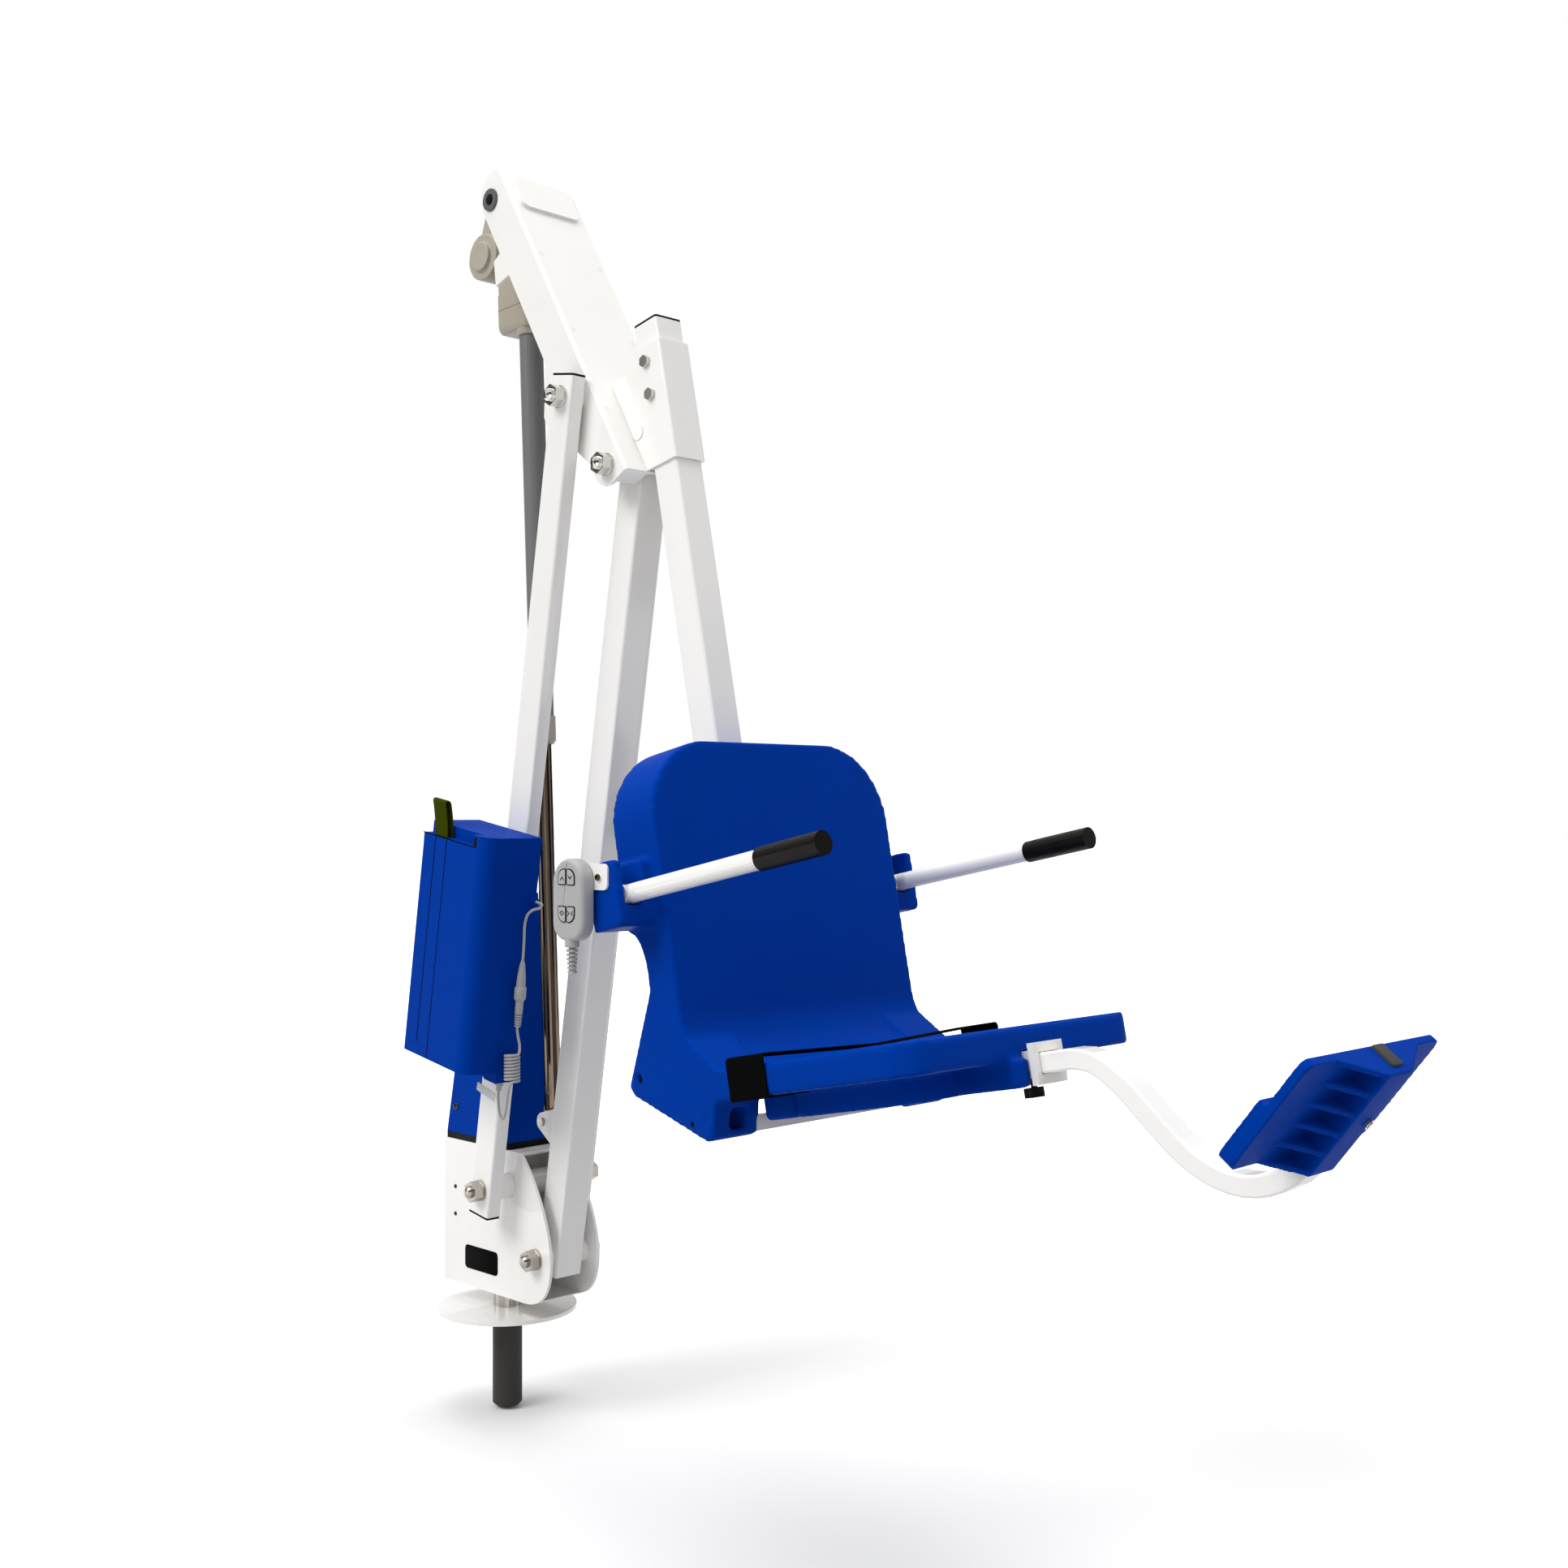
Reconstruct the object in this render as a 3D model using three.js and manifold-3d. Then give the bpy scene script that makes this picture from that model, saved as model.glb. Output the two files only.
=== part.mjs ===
// Pool patient lift, raised, as it stands in its deck socket.
// Millimetres, +Z up. Origin: the post's axis at the underside of the deck flange.
// +X is where the patient faces, +Y is the patient's left. "Near" is the patient's right.
import * as THREE from 'three';
import { mergeVertices } from 'three/addons/utils/BufferGeometryUtils.js';
import Module from 'manifold-3d';

const wasm = await Module();
wasm.setup();

// Shared sizes
const gap = 0.3;                 // running gap between pieces that touch
const over = 2;                  // how far a cutter runs past a wall
const deg = Math.PI / 180;
const roundSides = 24;
const smallSides = 12;
const boltSides = 14;

// Deck post and slewing shaft
const postRadius = 24.15;
const postWall = 4.8;
const postDepth = 158;
const postChamfer = 5;
const flangeRadius = 113;
const flangeThick = 6;
const shaftRadius = 23;
const shaftTop = 232;
const spigotRadius = 19;
const spigotDepth = 70;
const flangeSeat = 2;            // the post's top stands this deep in the flange
const gearTeeth = 30;
const gearModule = 2.5;
const gearThick = 14;
const gearZ = 120;
const gearRatio = 2;

// Base housing
const cheekHalf = 49;            // outer faces of the cheek plates
const cheekThick = 5;
const housingRear = -108;
const housingBottom = 37;
const housingTop = 272;
const cheekFront = 178;
const cheekFlat = 112;           // where the straight bottom edge ends
const cheekTopFront = 100;
const plateFront = 136;
const shelfThick = 4;
const shelfRear = 66;
const shelfLip = 9;
const bearingRadius = 33;
const bearingBottomZ = 32;
const webFront = 28.5;           // upright plate behind the link tube

// Tall cover on the housing
const coverBottom = 283;
const coverTop = 679;
const coverHalf = 48.5;
const coverHalfTop = 42;
const coverRear = -107;
const coverRearTop = -34;
const coverFront = 68;
const coverFrontTop = 33;
const coverWall = 4;
const trimThick = 10;

// Linkage: mast and two link bars, a parallelogram
const lean = 9.52 * deg;
const mastPivotX = 140;
const mastPivotZ = 111;
const linkPivotX = 69.5;
const linkPivotZ = 217;
const linkLength = 1230;
const headX = mastPivotX + linkLength * Math.sin(lean);   // head pivot
const headZ = mastPivotZ + linkLength * Math.cos(lean);
const mastSize = 50.8;
const mastWall = 3.2;
const mastBelow = 27;            // mast below its lower pivot
const mastAbove = 24;
const tubeCorner = 4;
const pivotTubeRadius = 18.5;
const boltRadius = 9.5;
const linkWide = 50.8;
const linkThick = 25.4;
const linkOuter = 103.6;
const linkBelow = 38;
const linkAbove = 32;
const linkWall = 2.6;
const capThick = 3;
const nutAcross = 28.6;
const nutThick = 17;
const domeHeight = 8;
const washerRadius = 17;
const washerThick = 2;

// Actuator lug on the mast and the pins of the actuator
const lugPinX = 123;
const lugPinZ = 321;
const lugHalf = 22;
const lugPlate = 6;
const lugNoseRadius = 15;
const lugSpan = 58;
const topPinBehind = 289.43;      // from the head pivot
const topPinAbove = 459.94;
const topPinX = headX - topPinBehind;
const topPinZ = headZ + topPinAbove;

// Head
const headLean = 31 * deg;
const headHalf = 71.5;
const headPlate = 5;
const headFront = 31.5;          // front plate's face, ahead of the head pivot
const headRear = -37;
const headLength = 560;
const headPlateEnd = 96;         // where the front plate ends, above the pivot
const headWing = -82;
const headReturn = 38;
const headLip = 7;
const headFold = 4.5;
const lugRadius = 31;
const padHigh = 64;              // raised pad on the front plate's top end
const padLow = 492;
const padHalf = 57;
const padCorner = 14;
const padProud = 5;
const bushingRadius = 17.5;
const bushingBore = 9.2;
const bushingProud = 3.5;

// Leg tube and its bracket
const legLean = 11.9 * deg;
const legTopAhead = 30.97;         // from the head pivot
const legTopAbove = 212.34;
const legTopX = headX + legTopAhead;
const legTopZ = headZ + legTopAbove;
const legLength = 1118;
const legSize = 50.8;
const legWall = 3.2;
const bracketWall = 4;
const bracketTop = 36;
const bracketLength = 183;
const bracketGap = 0.35;
const bossRadius = 12;
const bossProud = 1.5;

// Seat
const seatTilt = 11.5 * deg;
const seatAhead = 90.56;           // from the leg's lower end
const seatAbove = 33.77;
const seatX = legTopX + legLength * Math.sin(legLean) + seatAhead;
const seatZ = legTopZ - legLength * Math.cos(legLean) + seatAbove;
const seatHalf = 228;
const backHigh = 441;
const backThick = 85;
const backCorner = 112;
const backFillet = 76;
const waistThick = 51;
const waistHigh = 138;
const panLong = 377;
const panThick = 39;
const panCorner = 46;
const tubDeep = 72;
const tubInset = 72;
const tubFrontInset = 74;
const noseHalf = 52;             // blue surround of the footrest's receiver
const noseEnd = 386;
const wedgeWide = 80;
const wedgeRear = -120;
const wedgeRearHigh = -4;
const wedgeFront = 30;
const wedgeDeep = -87;
const edgeRound = 7;
const earReach = 62;
const earBottom = 197;
const earTop = 285;
const earFront = -17;
const earRear = -75;
const slotHalf = 15.5;
const slotDeep = 44;

// Armrests
const armAcross = seatHalf + 33.5;
const armRadius = 12.7;
const armLong = 354;
const armPivotU = -31;
const armPivotW = 240;
const gripRadius = 15;
const gripLong = 102;
const gripSkin = 0.3;
const armPin = 4.7;
const armPinReach = 8;

// Footrest and its receiver under the seat
const footWide = 38.1;
const footThick = 25.4;
const receiverWall = 3.4;
const receiverSlip = 0.6;
const receiverLong = 414;
const receiverEnd = 398.4;
const receiverDrop = -46;
const receiverPlateHalf = 29;
const receiverPlateHigh = 51;
const receiverPlateThick = 9;
const footInside = 210;

// Battery box on the near link bar
const boxCorner = 24;

// Small helpers: solids, shapes and pieces
function solidOf(geometry) {
  geometry.deleteAttribute('normal');
  geometry.deleteAttribute('uv');
  const merged = mergeVertices(geometry, 1e-4);
  const mesh = new wasm.Mesh({
    numProp: 3,
    vertProperties: new Float32Array(merged.attributes.position.array),
    triVerts: new Uint32Array(merged.index.array),
  });
  return new wasm.Manifold(mesh);
}

function geometryOf(solid) {
  const mesh = solid.getMesh();
  const geometry = new THREE.BufferGeometry();
  geometry.setAttribute('position', new THREE.BufferAttribute(new Float32Array(mesh.vertProperties), 3));
  geometry.setIndex(new THREE.BufferAttribute(new Uint32Array(mesh.triVerts), 1));
  geometry.computeVertexNormals();
  return geometry;
}

// A closed shape in the X-Z plane, extruded along Y from low to high.
function sideSlab(shape, low, high, curveSegments = 8) {
  const geometry = new THREE.ExtrudeGeometry(shape, { depth: high - low, bevelEnabled: false, curveSegments });
  geometry.rotateX(Math.PI / 2);
  geometry.translate(0, high, 0);
  return solidOf(geometry);
}

// A closed shape in the X-Y plane, extruded up from low to high.
function flatSlab(shape, low, high, curveSegments = 8) {
  const geometry = new THREE.ExtrudeGeometry(shape, { depth: high - low, bevelEnabled: false, curveSegments });
  geometry.translate(0, 0, low);
  return solidOf(geometry);
}

// A closed shape in the Y-Z plane, extruded along X from low to high.
function frontSlab(shape, low, high, curveSegments = 8) {
  const geometry = new THREE.ExtrudeGeometry(shape, { depth: high - low, bevelEnabled: false, curveSegments });
  geometry.rotateX(Math.PI / 2);
  geometry.rotateZ(Math.PI / 2);
  geometry.translate(low, 0, 0);
  return solidOf(geometry);
}

function boxBetween(x0, x1, y0, y1, z0, z1) {
  const geometry = new THREE.BoxGeometry(x1 - x0, y1 - y0, z1 - z0);
  geometry.translate((x0 + x1) / 2, (y0 + y1) / 2, (z0 + z1) / 2);
  return solidOf(geometry);
}

function rodZ(radius, z0, z1, x = 0, y = 0, sides = roundSides) {
  const geometry = new THREE.CylinderGeometry(radius, radius, z1 - z0, sides);
  geometry.rotateX(Math.PI / 2);
  geometry.translate(x, y, (z0 + z1) / 2);
  return solidOf(geometry);
}

function rodY(radius, y0, y1, x = 0, z = 0, sides = roundSides) {
  const geometry = new THREE.CylinderGeometry(radius, radius, y1 - y0, sides);
  geometry.translate(x, (y0 + y1) / 2, z);
  return solidOf(geometry);
}

function rodX(radius, x0, x1, y = 0, z = 0, sides = roundSides) {
  const geometry = new THREE.CylinderGeometry(radius, radius, x1 - x0, sides);
  geometry.rotateZ(-Math.PI / 2);
  geometry.translate((x0 + x1) / 2, y, z);
  return solidOf(geometry);
}

// A turned solid about Z from (radius, height) pairs that start and end on the axis.
function turned(pairs, sides = roundSides) {
  const geometry = new THREE.LatheGeometry(pairs.map(([r, z]) => new THREE.Vector2(r, z)), sides);
  geometry.rotateX(Math.PI / 2);
  return solidOf(geometry);
}

function roundedRect(x0, x1, y0, y1, radius) {
  const shape = new THREE.Shape();
  shape.moveTo(x0 + radius, y0);
  shape.lineTo(x1 - radius, y0);
  shape.absarc(x1 - radius, y0 + radius, radius, -Math.PI / 2, 0);
  shape.lineTo(x1, y1 - radius);
  shape.absarc(x1 - radius, y1 - radius, radius, 0, Math.PI / 2);
  shape.lineTo(x0 + radius, y1);
  shape.absarc(x0 + radius, y1 - radius, radius, Math.PI / 2, Math.PI);
  shape.lineTo(x0, y0 + radius);
  shape.absarc(x0 + radius, y0 + radius, radius, Math.PI, 1.5 * Math.PI);
  return shape;
}

function polygon(points) {
  const shape = new THREE.Shape();
  points.forEach(([x, y], i) => (i ? shape.lineTo(x, y) : shape.moveTo(x, y)));
  return shape;
}

function union(...solids) {
  return solids.reduce((sum, solid) => sum.add(solid));
}

const finish = {
  whitePaint: { color: 0xf2f1ee, roughness: 0.35, metalness: 0.0 },
  darkPost: { color: 0x454441, roughness: 0.55, metalness: 0.1 },
  stainless: { color: 0xb8b3aa, roughness: 0.18, metalness: 1.0 },
  bluePlastic: { color: 0x0036b4, roughness: 0.45, metalness: 0.0 },
  blackPlastic: { color: 0x141312, roughness: 0.5, metalness: 0.0 },
  blackFoam: { color: 0x1d1915, roughness: 0.75, metalness: 0.0 },
  greyBronze: { color: 0x4c4d50, roughness: 0.5, metalness: 0.2 },
  greyPaint: { color: 0x707070, roughness: 0.45, metalness: 0.1 },
  beigePlastic: { color: 0xa8a193, roughness: 0.5, metalness: 0.0 },
  greyPlastic: { color: 0xb4b4b4, roughness: 0.45, metalness: 0.0 },
  steelGrey: { color: 0xcfcdc9, roughness: 0.4, metalness: 0.3 },
  webbing: { color: 0x0a0a0a, roughness: 0.85, metalness: 0.0 },
  oliveWebbing: { color: 0x2a3200, roughness: 0.85, metalness: 0.0 },
  darkRubber: { color: 0x45423f, roughness: 0.7, metalness: 0.0 },
  brass: { color: 0x9c8146, roughness: 0.4, metalness: 1.0 },
};

function piece(name, solid, look) {
  const geometry = solid.isBufferGeometry ? solid : geometryOf(solid);
  const mesh = new THREE.Mesh(geometry, new THREE.MeshStandardMaterial(look));
  mesh.name = name;
  return mesh;
}

function frameAt(x, y, z, turnY) {
  const group = new THREE.Group();
  group.position.set(x, y, z);
  group.rotation.y = turnY;
  return group;
}

// Hexagon nut outside, washer inside and a domed end, about Y. It starts at face and points to side.
function nutStack(face, side, x = 0, z = 0) {
  const hex = new THREE.CylinderGeometry(nutAcross / Math.sqrt(3), nutAcross / Math.sqrt(3), nutThick, 6);
  const near = face + side * washerThick;
  hex.translate(x, near + side * nutThick / 2, z);
  const washer = rodY(washerRadius, Math.min(face, near), Math.max(face, near), x, z, boltSides);
  const tip = near + side * (nutThick + domeHeight);
  const stem = new THREE.LatheGeometry([
    new THREE.Vector2(0, 0),
    new THREE.Vector2(boltRadius, 0),
    new THREE.Vector2(boltRadius, domeHeight / 2),
    new THREE.Vector2(boltRadius * 0.7, domeHeight * 0.85),
    new THREE.Vector2(0, domeHeight),
  ], boltSides);
  if (side < 0) stem.rotateX(Math.PI);
  stem.translate(x, tip - side * domeHeight, z);
  return union(washer, solidOf(hex), solidOf(stem));
}

// A pivot bolt through y = -half to +half with a nut stack at each end.
function throughBolt(half, x = 0, z = 0) {
  const shank = rodY(boltRadius, -half - washerThick, half + washerThick, x, z, boltSides);
  return union(shank, nutStack(-half, -1, x, z), nutStack(half, 1, x, z));
}

const lift = new THREE.Group();

// Deck post, flange and shaft
function postPieces() {
  const post = turned([
    [0, -postDepth], [postRadius - postChamfer, -postDepth], [postRadius, -postDepth + postChamfer],
    [postRadius, flangeSeat - gap], [0, flangeSeat - gap],
  ]).subtract(rodZ(postRadius - postWall, -postDepth - over, -spigotDepth - postChamfer))
    .subtract(rodZ(spigotRadius + gap, -spigotDepth - postChamfer - over, over));
  const flange = rodZ(flangeRadius, 0, flangeThick, 0, 0, 48)
    .subtract(rodZ(spigotRadius + gap, -over, flangeThick + over))
    .subtract(rodZ(postRadius + gap, -over, flangeSeat));
  const pitch = gearTeeth * gearModule / 2;
  const shaft = turned([
    [0, -spigotDepth], [spigotRadius, -spigotDepth], [spigotRadius, flangeThick + gap],
    [shaftRadius, flangeThick + gap], [shaftRadius, shaftTop - postChamfer],
    [shaftRadius - postChamfer, shaftTop], [0, shaftTop],
  ]).add(gearSolid(gearTeeth, pitch).translate([0, 0, gearZ]));
  lift.add(
    piece('anchor_post', post, finish.darkPost),
    piece('deck_flange', flange, finish.whitePaint),
    piece('slew_shaft', shaft, finish.stainless),
  );
}

// A spur gear with straight-flanked teeth; the tooth is a little thin, which leaves backlash.
function gearSolid(teeth, pitch, toothFirst = true) {
  const outline = new THREE.Shape();
  const addendum = gearModule * 0.9;
  const dedendum = gearModule * 1.2;
  const step = 2 * Math.PI / teeth;
  const rootShare = 0.3;
  const tipShare = 0.11;
  const start = toothFirst ? 0 : step / 2;
  for (let i = 0; i < teeth; i++) {
    const angle = start + i * step;
    const corners = [
      [pitch - dedendum, angle - rootShare * step], [pitch + addendum, angle - tipShare * step],
      [pitch + addendum, angle + tipShare * step], [pitch - dedendum, angle + rootShare * step],
    ];
    corners.forEach(([r, a], j) => {
      const x = r * Math.cos(a);
      const y = r * Math.sin(a);
      if (i + j) outline.lineTo(x, y);
      else outline.moveTo(x, y);
    });
  }
  return flatSlab(outline, 0, gearThick);
}

// Housing: two cheeks, bottom plate, rear plate and a front shelf, folded from one sheet
function cheekShape() {
  const shape = new THREE.Shape();
  const cornerShare = 0.68;
  const bellyShare = 0.36;
  shape.moveTo(housingRear, housingBottom);
  shape.lineTo(cheekFlat, housingBottom);
  shape.bezierCurveTo(
    cheekFlat + cornerShare * (cheekFront - cheekFlat), housingBottom,
    cheekFront, housingBottom + bellyShare * (mastPivotZ - housingBottom), cheekFront, mastPivotZ,
  );
  shape.bezierCurveTo(
    cheekFront, mastPivotZ + bellyShare * (housingTop - mastPivotZ),
    cheekTopFront + bellyShare * (cheekFront - cheekTopFront), housingTop - bellyShare * shelfRear,
    cheekTopFront, housingTop,
  );
  shape.lineTo(housingRear, housingTop);
  return shape;
}

function housingPieces() {
  const inner = cheekHalf - cheekThick;
  const cheeks = sideSlab(cheekShape(), -cheekHalf, cheekHalf, 10)
    .subtract(boxBetween(housingRear + cheekThick, cheekFront + over, -inner, inner,
      housingBottom + cheekThick, housingTop + over));
  const shelf = union(
    boxBetween(shelfRear, cheekTopFront, -inner - over, inner + over, housingTop - shelfThick, housingTop),
    boxBetween(shelfRear, shelfRear + shelfThick, -inner - over, inner + over,
      housingTop - shelfThick - shelfLip, housingTop),
    boxBetween(webFront - shelfThick, shelfRear + 1, -inner - over, inner + over,
      housingTop - shelfThick, housingTop),
    boxBetween(webFront - shelfThick, webFront, -inner - over, inner + over,
      gearZ + gearThick + 2 * shelfThick, housingTop),
  );
  const bearing = union(
    rodZ(bearingRadius, bearingBottomZ, housingBottom + cheekThick),
    boxBetween(housingRear + over, shelfRear - over, -inner - over, inner + over,
      shaftTop - 3 * shelfThick, shaftTop - 2 * shelfThick),
  );
  let body = union(cheeks, shelf, bearing)
    .subtract(boxBetween(plateFront, cheekFront + over, -inner, inner, housingBottom - over,
      housingBottom + cheekThick + over))
    .subtract(rodZ(shaftRadius + gap, -over, shaftTop + over))
    .subtract(rodY(boltRadius + gap, -cheekHalf - over, cheekHalf + over, mastPivotX, mastPivotZ))
    .subtract(rodY(crossTubeRadius + gap, -cheekHalf - over, cheekHalf + over, linkPivotX, linkPivotZ));
  const motorX = motorReach();
  body = body.subtract(rodZ(motorShaftRadius + gap, housingBottom - over, housingTop, -motorX, 0, smallSides));
  lift.add(piece('base_housing', body, finish.whitePaint));
}

const crossTubeRadius = 19.5;
const crossTubeWall = 5;
const motorShaftRadius = 5;
const pinionTeeth = gearTeeth / gearRatio;
const motorRadius = 29;
const motorBottom = 232;
const motorHigh = 120;

function motorReach() {
  return (gearTeeth + pinionTeeth) * gearModule / 2;
}

function drivePieces() {
  const reach = motorReach();
  const pitch = pinionTeeth * gearModule / 2;
  const pinion = union(
    gearSolid(pinionTeeth, pitch, pinionTeeth % 2 === 0),
    rodZ(motorShaftRadius, -gearThick, motorBottom - gearZ - gap, 0, 0, smallSides),
  );
  const pinionMesh = piece('slew_pinion', pinion, finish.stainless);
  pinionMesh.position.set(-reach, 0, gearZ);
  const motor = union(
    rodZ(motorRadius, motorBottom, motorBottom + motorHigh, -reach, 0),
    rodZ(motorRadius * 0.55, motorBottom + motorHigh - over, motorBottom + 1.4 * motorHigh, -reach, 0),
  );
  lift.add(pinionMesh, piece('slew_gearmotor', motor, finish.greyPaint));
  const tube = rodY(crossTubeRadius, -crossTubeEnd, crossTubeEnd, linkPivotX, linkPivotZ)
    .subtract(rodY(boltRadius + gap, -crossTubeEnd - over, crossTubeEnd + over, linkPivotX, linkPivotZ));
  lift.add(piece('link_cross_tube', tube, finish.whitePaint));
}

const crossTubeEnd = linkOuter - linkThick - gap;

// Tall tapered cover over the drive, open below, with a rubber trim under its edge
function frustum(rear0, rear1, front0, front1, half0, half1, z0, z1, corner) {
  const ring = (rear, front, half) => {
    const points = roundedRect(rear, front, -half, half, corner).getPoints(4);
    return points.slice(0, points.length - 1);
  };
  const low = ring(rear0, front0, half0);
  const high = ring(rear1, front1, half1);
  const count = low.length;
  const positions = [];
  low.forEach((p) => positions.push(p.x, p.y, z0));
  high.forEach((p) => positions.push(p.x, p.y, z1));
  const index = [];
  for (let i = 0; i < count; i++) {
    const j = (i + 1) % count;
    index.push(i, j, count + j, i, count + j, count + i);
  }
  const cap = THREE.ShapeUtils.triangulateShape(low, []);
  cap.forEach(([a, b, c]) => index.push(a, c, b, count + a, count + b, count + c));
  const geometry = new THREE.BufferGeometry();
  geometry.setAttribute('position', new THREE.BufferAttribute(new Float32Array(positions), 3));
  geometry.setIndex(index);
  return solidOf(geometry);
}

const coverCorner = 9;

function coverPieces() {
  const outer = frustum(coverRear, coverRearTop, coverFront, coverFrontTop, coverHalf, coverHalfTop,
    coverBottom, coverTop, coverCorner);
  const inner = frustum(coverRear + coverWall, coverRearTop + coverWall, coverFront - coverWall,
    coverFrontTop - coverWall, coverHalf - coverWall, coverHalfTop - coverWall,
    coverBottom - over, coverTop - coverWall, coverCorner - coverWall / 2);
  lift.add(piece('tower_cover', outer.subtract(inner), finish.bluePlastic));
  const trimShape = roundedRect(coverRear, coverFront, -coverHalf, coverHalf, coverCorner);
  const holeShape = roundedRect(coverRear + 2 * coverWall, coverFront - 2 * coverWall,
    -coverHalf + 2 * coverWall, coverHalf - 2 * coverWall, coverCorner - coverWall);
  const trim = flatSlab(trimShape, coverBottom - gap - trimThick, coverBottom - gap, 3)
    .subtract(flatSlab(holeShape, coverBottom - trimThick - over, coverBottom + over, 2));
  lift.add(piece('cover_trim', trim, finish.blackPlastic));
}

// Square tube along local Z
function squareTube(wide, deep, wall, z0, z1) {
  const outside = roundedRect(-wide / 2, wide / 2, -deep / 2, deep / 2, tubeCorner);
  const inside = roundedRect(-wide / 2 + wall, wide / 2 - wall, -deep / 2 + wall, deep / 2 - wall,
    tubeCorner - wall / 2);
  return flatSlab(outside, z0, z1, 3).subtract(flatSlab(inside, z0 - over, z1 + over, 3));
}

// Into the leaning frame of the mast or a link bar
function intoLean(x, z, originX, originZ) {
  const dx = x - originX;
  const dz = z - originZ;
  return [dx * Math.cos(lean) - dz * Math.sin(lean), dx * Math.sin(lean) + dz * Math.cos(lean)];
}

function mastPieces() {
  const group = frameAt(mastPivotX, 0, mastPivotZ, lean);
  const [pinX, pinZ] = intoLean(lugPinX, lugPinZ, mastPivotX, mastPivotZ);
  const rear = -mastSize / 2;
  const lugShape = new THREE.Shape();
  lugShape.moveTo(rear + 1, pinZ - lugSpan / 2);
  lugShape.absarc(pinX, pinZ, lugNoseRadius, 1.3 * Math.PI, 0.62 * Math.PI, true);
  lugShape.lineTo(rear + 1, pinZ + lugSpan / 2);
  const lugs = union(
    sideSlab(lugShape, -lugHalf, -lugHalf + lugPlate),
    sideSlab(lugShape, lugHalf - lugPlate, lugHalf),
  ).subtract(rodY(lugBoltRadius + gap, -lugHalf - over, lugHalf + over, pinX, pinZ));
  const tube = squareTube(mastSize, mastSize, mastWall, -mastBelow, linkLength + mastAbove)
    .add(lugs)
    .subtract(rodY(pivotTubeRadius + gap, -mastSize, mastSize, 0, 0))
    .subtract(rodY(pivotTubeRadius + gap, -mastSize, mastSize, 0, linkLength));
  group.add(piece('mast_tube', tube, finish.whitePaint));
  const sleeveHalf = cheekHalf - cheekThick - gap;
  const sleeve = rodY(pivotTubeRadius, -sleeveHalf, sleeveHalf)
    .subtract(rodY(boltRadius + gap, -sleeveHalf - over, sleeveHalf + over));
  group.add(piece('mast_pivot_sleeve', sleeve, finish.whitePaint));
  [['near', -1], ['far', 1]].forEach(([name, side]) => {
    const inner = side * (lugHalf - lugPlate);
    const outer = side * (lugHalf + gap);
    const end = side * (lugHalf + lugBoltHead);
    const bolt = union(
      rodY(lugBoltRadius, Math.min(inner, outer), Math.max(inner, outer), pinX, pinZ, smallSides),
      rodY(lugBoltRadius * 1.3, Math.min(outer, end), Math.max(outer, end), pinX, pinZ, boltSides),
    );
    group.add(piece(`lug_bolt_${name}`, bolt, finish.stainless));
  });
  lift.add(group);
  lift.add(piece('mast_pivot_bolt', throughBolt(cheekHalf + gap, mastPivotX, mastPivotZ), finish.stainless));
}

const lugBoltRadius = 5;
const lugBoltHead = 4.5;

function linkPieces() {
  [['near', -1], ['far', 1]].forEach(([name, side]) => {
    const group = frameAt(linkPivotX, side * (linkOuter - linkThick / 2), linkPivotZ, lean);
    const bar = squareTube(linkWide, linkThick, linkWall, -linkBelow, linkLength + linkAbove)
      .subtract(rodY(boltRadius + gap, -linkThick, linkThick, 0, 0))
      .subtract(rodY(boltRadius + gap, -linkThick, linkThick, 0, linkLength));
    group.add(piece(`${name}_link_bar`, bar, finish.whitePaint));
    const capShape = roundedRect(-linkWide / 2, linkWide / 2, -linkThick / 2, linkThick / 2, tubeCorner);
    group.add(piece(`${name}_link_cap_bottom`,
      flatSlab(capShape, -linkBelow - gap - capThick, -linkBelow - gap, 3), finish.blackPlastic));
    group.add(piece(`${name}_link_cap_top`,
      flatSlab(capShape, linkLength + linkAbove + gap, linkLength + linkAbove + gap + capThick, 3),
      finish.blackPlastic));
    lift.add(group);
  });
  const topX = linkPivotX + linkLength * Math.sin(lean);
  const topZ = linkPivotZ + linkLength * Math.cos(lean);
  lift.add(
    piece('lower_link_bolt', throughBolt(linkOuter + gap, linkPivotX, linkPivotZ), finish.stainless),
    piece('upper_link_bolt', throughBolt(linkOuter + gap, topX, topZ), finish.stainless),
  );
}

// Head: a channel of folded sheet, open to the rear
// Tab on the rear edge of each side, beside the gearbox
const tabSpots = [[headRear, 454], [-56, 454], [-72, 417], [headRear, 409]];

function headShape() {
  const shape = new THREE.Shape();
  const [pinX, pinZ] = intoHead(topPinX, topPinZ);
  const crown = headFront - pinX;
  shape.moveTo(headFront, headPlateEnd);
  shape.lineTo(headFront, pinZ + crown * 0.35);
  shape.quadraticCurveTo(headFront - 3, pinZ + crown * 0.95, pinX + 6, pinZ + crown * 0.9);
  shape.quadraticCurveTo(headRear - 2, pinZ + crown * 0.7, headRear, pinZ - 14);
  tabSpots.forEach(([x, z]) => shape.lineTo(x, z));
  shape.lineTo(headRear, 225);
  shape.lineTo(headWing, 158);
  shape.quadraticCurveTo(headWing - 4, 138, headWing + 12, 124);
  shape.lineTo(-lugRadius, 24);
  shape.absarc(0, 0, lugRadius, 0.78 * Math.PI, 1.5 * Math.PI);
  shape.lineTo(headFront, -lugRadius);
  return shape;
}

function intoHead(x, z) {
  const dx = x - headX;
  const dz = z - headZ;
  return [
    dx * Math.cos(headLean) + dz * Math.sin(headLean),
    -dx * Math.sin(headLean) + dz * Math.cos(headLean),
  ];
}


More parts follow.
